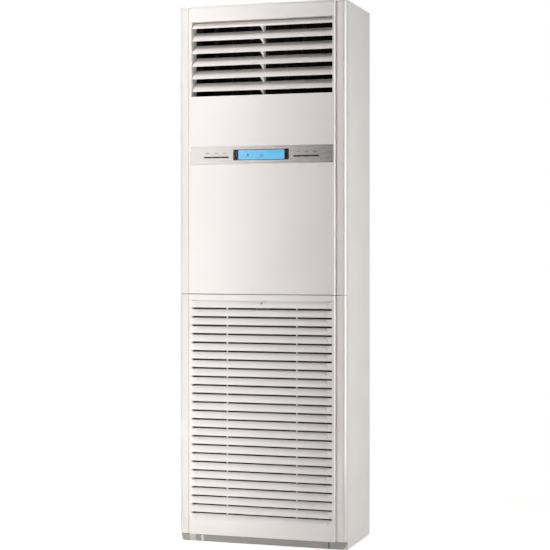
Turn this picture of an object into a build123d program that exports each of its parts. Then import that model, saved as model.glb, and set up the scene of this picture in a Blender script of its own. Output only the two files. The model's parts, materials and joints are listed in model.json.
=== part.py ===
"""Floor standing air conditioner, indoor cabinet unit, in millimetres.

Origin on the floor under the middle of the cabinet. +Z is up, the front faces -Y and +X is on the
right of a person who looks at the front.
"""
from build123d import *
from math import asin, atan2, cos, degrees, hypot, radians, sin
import os

# Cabinet
cabinet_width = 600.0
cabinet_depth = 325.0
cabinet_height = 1850.0
plinth_height = 27.0
panel_split = 856.6  # height of the seam between the two front panels
split_gap = 2.4

# Materials and fits
sheet = 1.0  # steel sheet of the casing
wall = 3.0  # moulded wall
fit = 0.3  # gap between a piece and its seat
snug = 0.1  # gap round a piece that is held in a groove or lies flush
running_gap = 0.08  # radial play of a pin in its hole

# Front panels
panel_side_gap = 38.5  # from the cabinet's side to the panels' edge
panel_depth = 20.0
panel_edge_radius = 5.0

# Corner trims
trim_inset = 8.0  # behind the panels' front
trim_wall = 2.5
trim_corner_radius = 13.0
groove_width = 6.5
groove_depth = 10.5
trim_line_offset = 21.5  # fine line on the trim, from the trim's inner edge
trim_line_width = 1.5
trim_line_depth = 1.0
trim_seat_width = 6.0
trim_seats = 4

# Side panels, rear panel, top cover
side_groove = 4.5  # shadow gap between trim and steel side
front_flange = 24.0
rear_flange = 15.0
side_floor_gap = 1.5
knockout_length = 150.0
knockout_height = 80.0
knockout_y = 18.0
knockout_z = 88.0
knockout_line = 1.6
knockout_groove = 0.5
rear_rib_depth = 6.0
rear_rib_width = 60.0
rear_rib_x = 110.0
cover_rim = 5.0
cover_gap = 0.7
cover_wall = 2.0
cover_flange_height = 22.0
cover_flange_wall = 1.5
cover_edge = 1.2
screw_radius = 2.0
screw_head_radius = 4.0
screw_head_height = 1.5
screw_length = 6.0
screws_per_side = 6
screw_end_margin = 60.0
bracket_hole_radius = 3.0  # for the bracket that ties the cabinet to a wall
bracket_hole_spacing = 200.0
bracket_hole_drop = 60.0
cable_x = -200.0
cable_z = 110.0
cable_bore_radius = 9.0
grommet_wall = 3.0
grommet_lip = 3.0
grommet_length = 6.4

# Base
base_setback = 34.5
base_sheet = 1.2
base_flange = 15.0
kick_setback = 19.5  # behind the panels' front
kick_drop = 2.1  # under the plinth's top, clear of the lower panel as it tilts
kick_wall = 3.0
kick_inset = 1.0  # from the cabinet's sides
kick_taper = 12.0  # at each end, from its top to its foot
kick_ribs = 4  # behind the strip, against the base
kick_rib_reach = 150.0
kick_slot_inset = 80.0
kick_slot_width = 10.0
kick_slot_bridge = 3.0
kick_step_inset = 65.0
kick_step_width = 6.0
kick_pad_inset = 45.0
kick_pad_width = 23.0
kick_relief = 1.2

# Air outlet
outlet_margin = 8.5  # panel left outside each end of the outlet
outlet_drop = 54.5  # from the cabinet's top to the opening
outlet_height = 257.5
frame_drop = 12.0  # the outlet frame opens this far below the panel's opening
frame_rise = 24.5
frame_back = 50.5  # depth of the frame's rear edge behind the panel's front
louvre_count = 6
louvre_pitch = 43.6
louvre_lip_drop = 21.0  # lip of the top louvre, under the opening's top
louvre_lip_depth = 4.5
louvre_run = 46.0
louvre_rise = 31.8
louvre_bulge = 3.5
louvre_thickness = 2.6
louvre_end_gap = 1.5
louvre_pin_radius = 2.5
louvre_boss_radius = 6.0
louvre_notch = 9.2  # cut into the rear edge of each louvre for the link
tooth_thickness = 4.0
tooth_lip_width = 11.5
tooth_front_slope = 0.62
tooth_gap = 1.0
louvre_link_reach = 29.0
louvre_link_height = 4.0
louvre_link_pin_radius = 2.0
louvre_link_width = 8.0
louvre_link_thickness = 4.0

# Vertical vanes
vane_count = 7
vane_end_gap = 61.0
vane_chord = 44.0
vane_thickness = 2.0
vane_pivot_depth = 92.5
vane_nose = 24.0
vane_floor_gap = 9.0
vane_roof_gap = 1.5
vane_pin_radius = 2.5
vane_crank = 15.0
vane_crank_pin_radius = 2.0
vane_link_width = 8.0
vane_link_thickness = 3.5
carrier_back = 118.0
motor_radius = 14.0
motor_height = 22.0
motor_ear = 8.0
motor_ear_thickness = 2.0

# Display band
band_drop = 486.0  # from the cabinet's top to the band
band_height = 61.0
band_margin = 5.5  # panel left outside each end of the band
band_pocket = 2.0
band_plate = 1.2
window_width = 199.2
window_drop = 11.5  # window's top under the band's
window_height = 36.5
window_rim = 3.4
window_rim_height = 0.8
window_lens = 2.0
screen_width = 166.8
button_width = 29.0
button_height = 4.8
button_pitch = 30.4
button_rise = 24.0  # buttons' middle above the band's foot
button_group_left = -162.0
button_group_right = 161.0
button_travel = 1.0
button_flange = 0.5
button_flange_wall = 1.2
button_stem_radius = 1.5
board_depth = 16.5  # behind the panel's front
board_thickness = 1.6
board_margin = 6.0
switch_size = 6.0
switch_height = 2.8

# Inlet grille
grille_margin = 10.5  # panel left outside each end of the slats
grille_drop = 19.4  # from the panel's top to the slats' recess
slot_count = 25
slot_height = 6.5
first_lip_drop = 25.6  # first lip under the recess's top
last_lip_height = 75.4
lip_height = 2.2
slat_depth = 11.0
slat_thickness = 2.6
corner_lip = 14.0  # how far the end facet reaches in at the lip
corner_deep = 21.5  # and at the slat's deep edge
rib_x = 125.0
rib_width = 3.6
rib_start = 8.0
rib_depth = 14.5
lock_x = 2.0
lock_drop = 8.5  # under the recess's top
lock_boss_radius = 7.5
lock_boss_inset = 1.0
lock_inset = 1.5
lock_radius = 4.5
lock_slot = 1.2
cam_length = 38.0
cam_width = 10.0
cam_thickness = 2.5
cam_depth = 28.0
index_notch_x = 20.0
index_notch_width = 5.0
index_notch_depth = 2.5
hinge_depth = 8.0
hinge_height = 45.0
hinge_pin_radius = 3.0
hinge_ear_inset = 33.5  # from the panel's edge
hinge_ear_wall = 3.0
hinge_ear_radius = 4.5
hinge_arm_height = 9.2
hinge_root_height = 11.2
hinge_foot = 18.0

# Air filter
filter_margin = 11.5  # from the panel's edge
filter_bottom = 60.0
filter_drop = 24.0  # under the recess's top
filter_thickness = 5.0
filter_rail = 10.0
filter_net = 0.8
filter_grip_width = 48.0
filter_grip_depth = 26.0
filter_bars = 4
runner_lip = 1.5
runner_rise = 20.0  # above the filter's foot
runner_drop = 12.0  # under the filter's top
ledge_inset = 50.0  # ledges that the filter stands on, from its edge
ledge_width = 12.0
ledge_height = 4.0

# Inner plates
partition_rise = 13.4  # above the seam between the panels
partition_sheet = 1.2
keeper_depth = 26.5  # front of the partition's turned-down flange, behind the panel's front
keeper_height = 22.0
duct_plate_depth = 90.5
duct_plate_sheet = 1.0

# Blower
blower_x = 0.0
blower_z = 430.0
wheel_radius = 160.0
wheel_blades = 36
blade_chord = 28.0
blade_thickness = 1.6
blade_lean = 14.0
wheel_ring = 6.0
wheel_plate = 2.0
hub_radius = 22.0
hub_length = 34.0
shaft_radius = 8.0
shaft_nose = 16.0
scroll_start_radius = 190.0
scroll_step = 30.0
scroll_wall = 1.2
scroll_front_depth = 122.5
scroll_back_depth = 42.5  # in front of the cabinet's back
scroll_side_gap = 15.0
tongue_radius = 16.0
bell_radius = 138.0
bell_lip = 12.0
bell_wall = 1.5
motor_body_radius = 62.0
motor_body_length = 38.0
motor_chamfer = 6.0
shaft_seat = 19.0  # depth of the shaft's bore in the motor
blower_motor_gap = 8.0
bracket_arm_width = 26.0
bracket_thickness = 2.0
bracket_reach = 118.0

# Coil and drain
coil_side_room = 36.0
coil_thickness = 44.0
coil_headroom = 113.0  # the coil is this much shorter than the room up to the outlet frame
coil_back_room = 35.0  # behind the middle of the coil's top
coil_foot_depth = 132.5
coil_foot_rise = 23.0  # above the partition
fin_pitch = 6.0
fin_thickness = 0.7
end_plate = 1.2
bend_radius = 11.0
tube_radius = 4.76
bend_count = 10
bend_leg = 3.0
drain_front_gap = 4.0  # behind the duct's front plate
drain_run = 76.0
drain_side_room = 15.0
drain_depth = 36.0
drain_gap = 5.0  # drain pan's underside above the partition
drain_wall = 2.0
drain_corner = 6.0
spout_inset = 38.0  # from the cabinet's side
spout_radius = 9.0
spout_bore = 7.0
spout_length = 46.0
hole_play = 4.0

# Refrigerant pipes, each leaving the coil at a share of the coil's length
pipe_inset = 24.0  # from the cabinet's side
gas_radius = 9.525
gas_share = 0.615
liquid_radius = 4.76
liquid_share = 0.875
pipe_wall = 1.2
pipe_drop = 270.0  # under the partition
nut_length = 24.0
gas_nut_flats = 34.0
liquid_nut_flats = 22.0

# Electrical box
box_left = -250.0
box_right = -30.0
box_rise = 30.0  # above the partition
box_height = 290.0
box_depth = 56.0
cover_skirt = 8.0
main_board_margin = 16.0
main_board_standoff = 8.0
post_inset = 8.0
post_radius = 3.0
relay_count = 4
relay_pitch = 26.0
relay_width = 20.0
relay_height = 16.0
relay_depth = 16.0
transformer_size = 46.0
capacitor_radius = 11.0
capacitor_length = 28.0
terminal_left = 20.0
terminal_right = 120.0
terminal_rise = 40.0  # above the partition
terminal_height = 30.0
terminal_depth = 22.0
terminal_poles = 6
terminal_step = 9.0
terminal_hole_radius = 4.0
terminal_hole_depth = 4.0

insulation = 4.0

# Planes and edges that several pieces share
side_x = cabinet_width / 2
front_y = -cabinet_depth / 2
back_y = cabinet_depth / 2
rear_y = back_y - screw_head_height  # outside of the steel at the back
panel_x = side_x - panel_side_gap
panel_back = front_y + panel_depth
trim_y = front_y + trim_inset
trim_back = trim_y + trim_corner_radius
trim_x = panel_x + groove_width
side_front = trim_back + side_groove
casing_top = cabinet_height - cover_rim - cover_gap
lower_panel = (plinth_height + fit, panel_split - split_gap / 2)
upper_panel = (panel_split + split_gap / 2, casing_top)
casing_x = side_x - sheet - fit  # what fits between the side panels
rear_panel_y = rear_y - sheet - fit  # outside of the rear panel
inner_back = rear_panel_y - sheet - rear_rib_depth  # clear of the rear panel's ribs
base_front = front_y + base_setback

# Outlet
outlet_x = panel_x - outlet_margin
outlet_top = cabinet_height - outlet_drop
outlet_bottom = outlet_top - outlet_height
frame_x = outlet_x + wall
frame_bottom = outlet_bottom - frame_drop
frame_top = outlet_top + frame_rise
frame_back_y = front_y + frame_back
louvre_y = front_y + louvre_lip_depth + louvre_run / 2
louvre_x = outlet_x - louvre_end_gap
carrier_front_y = frame_back_y + fit
carrier_back_y = front_y + carrier_back
vane_y = front_y + vane_pivot_depth

# Display band
band_top = cabinet_height - band_drop
band_bottom = band_top - band_height
window_top = band_top - window_drop
window_bottom = window_top - window_height
button_z = band_bottom + button_rise
board_y = front_y + board_depth

# Inlet grille and filter
grille_x = panel_x - grille_margin
grille_top = lower_panel[1] - grille_drop
first_lip_height = grille_top - first_lip_drop
slot_pitch = (first_lip_height - last_lip_height) / slot_count
slat_rise = slot_pitch - slot_height
lock_z = grille_top - lock_drop
hinge_y = front_y + hinge_depth
hinge_ear_x = panel_x - hinge_ear_inset
filter_x = panel_x - filter_margin
filter_top = grille_top - filter_drop

# Inner plates, blower, coil and electrics
partition_height = panel_split + partition_rise
keeper_y = front_y + keeper_depth
duct_plate_y = front_y + duct_plate_depth
scroll_front_y = front_y + scroll_front_depth
scroll_back_y = back_y - scroll_back_depth
wheel_width = scroll_back_y - scroll_front_y - 2 * scroll_side_gap
coil_width = cabinet_width - 2 * coil_side_room
coil_foot_y = front_y + coil_foot_depth
coil_foot_z = partition_height + coil_foot_rise
coil_length = frame_bottom - coil_foot_z - coil_headroom
coil_angle = degrees(asin((inner_back - coil_back_room - coil_foot_y) / coil_length))
drain_front_y = duct_plate_y + drain_front_gap
drain_back_y = drain_front_y + drain_run
spout_x = spout_inset - side_x
pipe_x = pipe_inset - side_x
pipe_bottom = partition_height - pipe_drop
box_bottom = partition_height + box_rise
box_top = box_bottom + box_height
terminal_bottom = partition_height + terminal_rise


# Helpers

def block(x, y, z):
    """A block between two limits on each axis."""
    centre = [(low + high) / 2 for low, high in (x, y, z)]
    return Pos(*centre) * Box(x[1] - x[0], y[1] - y[0], z[1] - z[0])


def region(points):
    """The face inside a closed outline of straight edges."""
    return make_face(Polyline(*points, close=True))


def along_x(section, x):
    """A section drawn in (y, z), pushed from x[0] to x[1]."""
    return extrude(Plane.YZ.offset(x[0]) * section, amount=x[1] - x[0])


def along_y(section, y):
    """A section drawn in (x, z), pushed from y[0] to y[1]."""
    return extrude(Plane.XZ.offset(-y[1]) * section, amount=y[1] - y[0])


def along_z(section, z):
    """A section drawn in (x, y), pushed from z[0] to z[1]."""
    return extrude(Plane.XY.offset(z[0]) * section, amount=z[1] - z[0])


def rod_x(radius, x, y, z):
    """A round bar along X."""
    return Pos((x[0] + x[1]) / 2, y, z) * Rot(0, 90, 0) * Cylinder(radius, x[1] - x[0])


def rod_y(radius, x, y, z):
    """A round bar along Y."""
    return Pos(x, (y[0] + y[1]) / 2, z) * Rot(90, 0, 0) * Cylinder(radius, y[1] - y[0])


def rod_z(radius, x, y, z):
    """A round bar along Z."""
    return Pos(x, y, (z[0] + z[1]) / 2) * Cylinder(radius, z[1] - z[0])


def folded(points, thickness):
    """The section of a folded sheet: the outline of a path and its copy to the left of travel."""
    inner = []
    for i, (x, y) in enumerate(points):
        normals = []
        for a, b in ((i - 1, i), (i, i + 1)):
            if a >= 0 and b < len(points):
                run = (points[b][0] - points[a][0], points[b][1] - points[a][1])
                size = hypot(*run)
                normals.append((-run[1] / size, run[0] / size))
        mean = (sum(n[0] for n in normals), sum(n[1] for n in normals))
        reach = thickness * len(normals) / (mean[0] ** 2 + mean[1] ** 2)
        inner.append((x + mean[0] * reach, y + mean[1] * reach))
    return region(points + inner[::-1])


def both_sides(shape):
    """A shape and its mirror image across the middle of the cabinet."""
    return [shape, mirror(shape, about=Plane.YZ)]


def spread(count, low, high):
    """Evenly spaced places from low to high."""
    return [low + (high - low) * i / (count - 1) for i in range(count)]


def save(name, *solids):
    """Write one sub-part."""
    shape = solids[0] if len(solids) == 1 else Compound(children=list(solids))
    export_step(shape, f"parts/{name}.step")


# Casing

def trim_region(inset, x_start):
    """Section behind the right corner trim's surface, drawn in by an inset."""
    centre = (side_x - trim_corner_radius, trim_y + trim_corner_radius)
    radius = trim_corner_radius - inset
    corner = CenterArc(centre, radius, -90, 90)
    rest = Polyline(
        corner @ 1,
        (x_start, trim_back),
        (x_start, front_y + groove_depth + inset),
        (trim_x + inset, front_y + groove_depth + inset),
        (trim_x + inset, trim_y + inset),
        corner @ 0,
    )
    return make_face([corner] + list(rest.edges()))


def corner_trim():
    """The right corner trim, in a lower and an upper length, on ribs that seat on the side panel."""
    x_start = panel_x + fit
    section = trim_region(0, x_start) - trim_region(trim_wall, x_start)
    line_x = trim_x + trim_line_offset
    line = Pos(line_x, trim_y) * Rectangle(trim_line_width, 2 * trim_line_depth)
    seat_x = side_x - front_flange + trim_seat_width / 2
    lengths = []
    for low, high in (lower_panel, upper_panel):
        length = along_z(section - line, (low, high))
        margin = (high - low) / (2 * trim_seats)
        for z in spread(trim_seats, low + margin, high - margin):
            length += block(
                (seat_x, seat_x + trim_seat_width),
                (trim_y + trim_wall / 2, side_front - fit),
                (z - trim_seat_width / 2, z + trim_seat_width / 2),
            )
        lengths.append(length)
    return lengths


def screw_places():
    """Heights of the screws down each rear edge."""
    low = plinth_height + screw_end_margin
    return spread(screws_per_side, low, casing_top - screw_end_margin)


def side_panel():
    """The right side: one folded sheet with a pipe knock-out in its lower part."""
    path = [
        (side_x - front_flange, side_front),
        (side_x, side_front),
        (side_x, rear_y),
        (side_x - rear_flange, rear_y),
    ]
    panel = along_z(folded(path, sheet), (side_floor_gap, casing_top))
    outline = Plane.YZ.offset(side_x) * Pos(knockout_y, knockout_z)
    outer = outline * SlotOverall(knockout_length, knockout_height)
    inner = outline * SlotOverall(
        knockout_length - 2 * knockout_line, knockout_height - 2 * knockout_line
    )
    panel -= extrude(outer - inner, amount=-knockout_groove)
    for z in screw_places():
        x = side_x - rear_flange / 2
        panel -= rod_y(screw_radius + running_gap, x, (rear_y - 2 * sheet, rear_y + sheet), z)
    return panel


def rear_panel():
    """The back, roll formed with two standing ribs, holed for its screws, the cable and a bracket."""
    y = rear_panel_y
    inset = rear_rib_depth
    half = rear_rib_width / 2
    right = [
        (casing_x, y),
        (rear_rib_x + half + inset, y),
        (rear_rib_x + half, y - inset),
        (rear_rib_x - half, y - inset),
        (rear_rib_x - half - inset, y),
    ]
    left = [(-x, v) for x, v in reversed(right)]
    panel = along_z(folded((right + left)[::-1], -sheet), (plinth_height + fit, casing_top - fit))
    through = (y - 2 * sheet, y + sheet)
    for z in screw_places():
        for x in (side_x - rear_flange / 2, rear_flange / 2 - side_x):
            panel -= rod_y(screw_radius + running_gap, x, through, z)
    for x in (-bracket_hole_spacing / 2, bracket_hole_spacing / 2):
        reach = (y - inset - 2 * sheet, y + sheet)
        panel -= rod_y(bracket_hole_radius, x, reach, casing_top - bracket_hole_drop)
    return panel - rod_y(cable_bore_radius + grommet_wall + snug, cable_x, through, cable_z)


def cabinet_screws():
    """Pan head screws down both rear edges."""
    screws = []
    for z in screw_places():
        for x in (side_x - rear_flange / 2, rear_flange / 2 - side_x):
            shank = rod_y(screw_radius, x, (rear_y - screw_length, rear_y), z)
            head = rod_y(screw_head_radius, x, (rear_y, rear_y + screw_head_height), z)
            screws.append(shank + head)
    return screws


def cable_grommet():
    """Rubber ring in the rear panel that the supply cable passes through."""
    middle = rear_panel_y - sheet / 2
    outer = cable_bore_radius + grommet_wall
    reach = (middle - grommet_length / 2, middle + grommet_length / 2)
    body = rod_y(outer + grommet_lip, cable_x, reach, cable_z)
    seat = (middle - sheet / 2 - snug, middle + sheet / 2 + snug)
    groove = rod_y(outer + 2 * grommet_lip, cable_x, seat, cable_z)
    groove -= rod_y(outer, cable_x, seat, cable_z)
    return body - groove - rod_y(cable_bore_radius, cable_x, (reach[0] - 1, reach[1] + 1), cable_z)


def cover_outline(inset):
    """Plan of the cabinet's top: the raised panel in front of the rounded corners."""
    radius = trim_corner_radius - inset
    edge = panel_edge_radius - inset
    body = Pos(0, (trim_y + rear_y) / 2) * Rectangle(
        2 * (side_x - inset), rear_y - trim_y - 2 * inset
    )
    body = fillet(body.vertices().sort_by(Axis.Y)[:2], radius)
    nose = Pos(0, (front_y + trim_back) / 2) * Rectangle(
        2 * (panel_x - inset), trim_back - front_y - 2 * inset
    )
    nose = fillet(nose.vertices().sort_by(Axis.Y)[:2], edge)
    return body + nose


def top_cover():
    """A shallow cap whose rim shows all round, with two flanges inside the side panels."""
    low = cabinet_height - cover_rim
    cap = along_z(cover_outline(0), (low, cabinet_height))
    cap = chamfer(cap.faces().sort_by(Axis.Z)[-1].edges(), cover_edge)
    cap -= along_z(cover_outline(cover_wall), (low, cabinet_height - cover_wall))
    flange = block(
        (casing_x - cover_flange_wall, casing_x),
        (side_front + 2 * sheet + fit, rear_panel_y - 2 * sheet - rear_rib_depth),
        (casing_top - cover_flange_height, cabinet_height - cover_wall),
    )
    for side in both_sides(flange):
        cap += side
    return cap


# Base

def base_pan():
    """A pressed tray on inward feet, with two ears that carry the lower panel's pivots."""
    x, y = (-casing_x, casing_x), (base_front, rear_panel_y - sheet - fit)
    inner_x = (x[0] + base_sheet, x[1] - base_sheet)
    inner_y = (y[0] + base_sheet, y[1] - base_sheet)
    pan = block(x, y, (0, plinth_height))
    pan -= block(inner_x, inner_y, (base_sheet, plinth_height - base_sheet))
    foot_x = (x[0] + base_flange, x[1] - base_flange)
    foot_y = (y[0] + base_flange, y[1] - base_flange)
    pan -= block(foot_x, foot_y, (-1, base_sheet + 1))
    low, high = hinge_height - hinge_arm_height / 2, hinge_height + hinge_root_height / 2
    deck = plinth_height - base_sheet / 2
    profile = region([
        (hinge_y, low),
        (base_front, low),
        (base_front, deck),
        (base_front + hinge_foot, deck),
        (base_front + hinge_foot, low),
        (base_front, high),
        (hinge_y, low + hinge_arm_height),
    ])
    ear = along_x(profile, (hinge_ear_x, hinge_ear_x + hinge_ear_wall))
    reach = (hinge_ear_x, hinge_ear_x + hinge_ear_wall)
    ear += rod_x(hinge_ear_radius, reach, hinge_y, hinge_height)
    bore = (reach[0] - 1, reach[1] + 1)
    ear -= rod_x(hinge_pin_radius + running_gap, bore, hinge_y, hinge_height)
    for side in both_sides(ear):
        pan += side
    return pan


def kick_plate():
    """The strip under the front panel: a tray open below and behind, drawn in towards the floor."""
    top = plinth_height - kick_drop
    front, back = front_y + kick_setback, side_front - fit

    def tapered(low, high, inset=0):
        ends = [side_x - kick_inset - kick_taper * (top - z) / top - inset for z in (low, high)]
        return region([(-ends[0], low), (ends[0], low), (ends[1], high), (-ends[1], high)])

    plate = along_y(tapered(fit, top), (front, back))
    plate -= along_y(tapered(0, top - kick_wall, kick_wall), (front + kick_wall, back + 1))
    for x in spread(kick_ribs, -kick_rib_reach, kick_rib_reach):
        rib_y = (front + kick_wall / 2, base_front - fit)
        plate += block((x - kick_wall / 2, x + kick_wall / 2), rib_y, (fit, top - kick_wall / 2))
    slot_x, step_x, pad_x = kick_slot_inset - side_x, side_x - kick_step_inset, kick_pad_inset - side_x
    slot = (slot_x - kick_slot_width / 2, slot_x + kick_slot_width / 2)
    plate -= block(slot, (front - 1, front + 2 * kick_wall), (0, top - kick_slot_bridge))
    for x, width in ((step_x, kick_step_width), (pad_x, kick_pad_width)):
        relief = (front - 1, front + kick_relief)
        plate -= block((x - width / 2, x + width / 2), relief, (0, plinth_height))
    return plate


# Front panels

def panel_section(inset):
    """Plan section of a front panel with its rounded edges, drawn in by an inset."""
    depth = panel_back - front_y
    shape = Pos(0, front_y + inset + depth / 2) * Rectangle(2 * (panel_x - inset), depth)
    return fillet(shape.vertices().sort_by(Axis.Y)[:2], panel_edge_radius - inset)


def panel_tray(z):
    """A front panel: a shell open at the back, closed at its top and bottom."""
    tray = along_z(panel_section(0), z)
    return tray - along_z(panel_section(wall), (z[0] + wall, z[1] - wall))


def button_places():
    """Middle of every button, from left to right."""
    groups = (button_group_left, button_group_right)
    return [middle + i * button_pitch for middle in groups for i in (-1, 0, 1)]


def button_holes(y, play):
    """Blocks that cut the buttons' holes."""
    x, z = button_width / 2 + play, button_height / 2 + play
    return [
        block((middle - x, middle + x), y, (button_z - z, button_z + z))
        for middle in button_places()
    ]


def upper_front_panel():
    """The upper panel, with the outlet opening and the pocket for the display band."""
    panel = panel_tray(upper_panel)
    opening = ((-outlet_x, outlet_x), (front_y - 1, panel_back + 1), (outlet_bottom, outlet_top))
    rim_z = (outlet_bottom - wall, outlet_top + wall)
    turned_in = block((-frame_x, frame_x), (front_y + wall / 2, panel_back), rim_z)
    panel = panel + turned_in - block(*opening)
    pocket_y = front_y + band_pocket
    band_x = panel_x - band_margin
    panel -= block((-band_x, band_x), (front_y - 1, pocket_y), (band_bottom, band_top))
    window_x = window_width / 2 + fit
    through = (front_y - 1, front_y + 2 * wall)
    panel -= block((-window_x, window_x), through, (window_bottom - fit, window_top + fit))
    for hole in button_holes(through, fit):
        panel -= hole
    post_x = window_x + window_rim + board_margin
    post_y = (front_y + (band_pocket + wall) / 2, board_y - fit)
    for x in (-post_x, post_x):
        for z in (band_bottom + board_margin, band_top - board_margin):
            panel += rod_y(board_margin / 2, x, post_y, z)
    return panel


def display_bezel():
    """The brushed band, with a raised rim round the window and holes for the buttons."""
    floor = front_y + band_pocket
    face = floor - band_plate
    band_x = panel_x - band_margin - fit
    band = block((-band_x, band_x), (face, floor), (band_bottom + fit, band_top - fit))
    window_x = window_width / 2 + fit
    rim_z = (window_bottom - fit - window_rim, window_top + fit + window_rim)
    rim_x = window_x + window_rim
    band += block((-rim_x, rim_x), (face - window_rim_height, floor), rim_z)
    through = (front_y - 1, floor + 1)
    band -= block((-window_x, window_x), through, (window_bottom - fit, window_top + fit))
    for hole in button_holes(through, fit):
        band -= hole
    return band


def display_window():
    """The clear window over the screen, with a lip behind the panel."""
    x = window_width / 2
    back = front_y + wall + fit
    lens = block((-x, x), (front_y + fit, back + window_lens), (window_bottom, window_top))
    x += window_rim
    lip = (window_bottom - window_rim, window_top + window_rim)
    lens += block((-x, x), (back, back + window_lens), lip)
    return lens


def display_board():
    """Board with the display module in its middle and one switch behind each button."""
    half = button_group_right + 2 * button_pitch
    board = block(
        (-half, half), (board_y, board_y + board_thickness), (band_bottom + fit, band_top - fit)
    )
    window_back = front_y + wall + fit + window_lens
    module = block(
        (-screen_width / 2, screen_width / 2),
        (window_back + fit, board_y),
        (window_bottom + fit, window_top - fit),
    )
    pieces = [board, module]
    size = switch_size / 2
    face = board_y - switch_height
    for x in button_places():
        body = block((x - size, x + size), (face, board_y), (button_z - size, button_z + size))
        pieces.append(body)
    return pieces


def button(x):
    """One key: cap, retaining flange behind the panel, and a stem towards its switch."""
    half, rise = button_width / 2, button_height / 2
    seat = front_y + wall + fit
    back = seat + button_flange_wall
    height = (button_z - rise, button_z + rise)
    cap = block((x - half, x + half), (front_y + snug, back), height)
    half += button_flange
    flange_z = (height[0] - 2 * button_flange, height[1] + 2 * button_flange)
    cap += block((x - half, x + half), (seat, back), flange_z)
    stem_end = board_y - switch_height - button_travel - fit
    return cap + rod_y(button_stem_radius, x, (seat, stem_end), button_z)


# Air outlet

def louvre_heights():
    """Heights of the louvres' pivots, from the top one down."""
    first = outlet_top - louvre_lip_drop + louvre_rise / 2
    return [first - i * louvre_pitch for i in range(louvre_count)]


def outlet_frame():
    """White frame behind the opening that carries the louvres' pivots."""
    z = (frame_bottom, frame_top)
    frame = block(
        (-frame_x, frame_x), (panel_back + fit, frame_back_y), (z[0] - wall, z[1] + wall)
    )
    frame -= block((-outlet_x, outlet_x), (panel_back, frame_back_y + 1), z)
    closing = (panel_back + fit, panel_back + fit + wall)
    frame += block((-frame_x, frame_x), closing, (frame_bottom, outlet_bottom - fit))
    frame += block((-frame_x, frame_x), closing, (outlet_top + fit, frame_top))
    bore = (-frame_x - 1, frame_x + 1)
    for z in louvre_heights():
        frame -= rod_x(louvre_pin_radius + running_gap, bore, louvre_y, z)
    return frame


def louvre_section():
    """Curved louvre in (y, z) about its pivot: low lip in front, high edge behind."""
    chord = hypot(louvre_run, louvre_rise)
    normal = (-louvre_rise / chord, louvre_run / chord)
    lip = (-louvre_run / 2, -louvre_rise / 2)
    crown = (normal[0] * louvre_bulge, normal[1] * louvre_bulge)
    heel = (louvre_run / 2, louvre_rise / 2)
    return SlotArc(ThreePointArc(lip, crown, heel), louvre_thickness)


def louvre_tooth(z):
    """Support under the middle of a louvre: a web with a front edge that widens to the lip."""
    half_run, half_rise = louvre_run / 2, louvre_rise / 2
    slope = louvre_rise / louvre_run
    lift = (louvre_bulge + louvre_thickness / 2) / cos(atan2(louvre_rise, louvre_run))
    below = -louvre_pitch + lift + tooth_gap

    def foot(y, raised=0):
        return (y, below + slope * y + raised)

    start = (1 - half_run, -half_rise)
    toe = foot((start[1] + tooth_front_slope * start[0] - below) / (slope + tooth_front_slope))
    heel = foot(half_run - 1, -lift / 2)
    half = tooth_thickness / 2
    web = along_x(region([start, toe, heel, (heel[0], half_rise), (0, louvre_bulge / 2)]), (-half, half))
    shoulder = (start[0] + 2 * louvre_thickness, start[1] + louvre_thickness)
    front = region([start, toe, foot(toe[0] + louvre_thickness), shoulder])
    flange = along_x(front, (-tooth_lip_width / 2, tooth_lip_width / 2))
    taper = region([
        (-tooth_lip_width / 2, shoulder[1]),
        (-half, toe[1] - 1),
        (half, toe[1] - 1),
        (tooth_lip_width / 2, shoulder[1]),
    ])
    flange &= along_y(taper, (-louvre_run, louvre_run))
    ear = region([
        (half_run - 3 * louvre_link_pin_radius, louvre_link_height + louvre_link_width / 2),
        (half_run - 3 * louvre_link_pin_radius, louvre_link_height - louvre_link_width / 2),
        (louvre_link_reach, louvre_link_height - 2 * louvre_link_pin_radius),
        (louvre_link_reach, louvre_link_height + 2 * louvre_link_pin_radius),
    ])
    web += along_x(ear, (-half, half))
    web += rod_x(2 * louvre_link_pin_radius, (-half, half), louvre_link_reach, louvre_link_height)
    pin = (-half - louvre_link_thickness - 2 * fit, 0)
    web += rod_x(louvre_link_pin_radius, pin, louvre_link_reach, louvre_link_height)
    return Pos(0, louvre_y, z) * (web + flange)


def louvre(z):
    """One louvre with its end bosses and pins, its tooth, and a notch that clears the link."""
    blade = along_x(louvre_section(), (-louvre_x, louvre_x))
    for start, end in ((-frame_x + fit, -louvre_x + wall), (louvre_x - wall, frame_x - fit)):
        blade += rod_x(louvre_pin_radius, (start, end), 0, 0)
    for start, end in ((-louvre_x, -louvre_x + wall), (louvre_x - wall, louvre_x)):
        blade += rod_x(louvre_boss_radius, (start, end), 0, 0)
    chord = hypot(louvre_run, louvre_rise)
    right = -tooth_thickness / 2
    notch = block(
        (right - louvre_link_thickness - 3 * fit, right),
        (chord / 2 - louvre_notch, chord),
        (-louvre_bulge, 2 * louvre_bulge),
    )
    blade -= Rot(degrees(atan2(louvre_rise, louvre_run)), 0, 0) * notch
    swing = rod_x(z - outlet_bottom - 2 * fit, (-side_x, side_x), louvre_y, z)
    return Pos(0, louvre_y, z) * blade + (louvre_tooth(z) & swing)


def louvre_link():
    """Flat bar on the teeth's pins, which keeps the louvres parallel."""
    heights = [z + louvre_link_height for z in louvre_heights()]
    right = -tooth_thickness / 2 - fit
    x = (right - louvre_link_thickness, right)
    y = louvre_y + louvre_link_reach
    half = louvre_link_width / 2
    bar = block(x, (y - half, y + half), (heights[-1], heights[0]))
    for z in (heights[0], heights[-1]):
        bar += rod_x(half, x, y, z)
    for z in heights:
        bar -= rod_x(louvre_link_pin_radius + running_gap, (x[0] - 1, x[1] + 1), y, z)
    return bar


def vane_places():
    """X of each vertical vane, from left to right."""
    return spread(vane_count, vane_end_gap - outlet_x, outlet_x - vane_end_gap)


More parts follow.
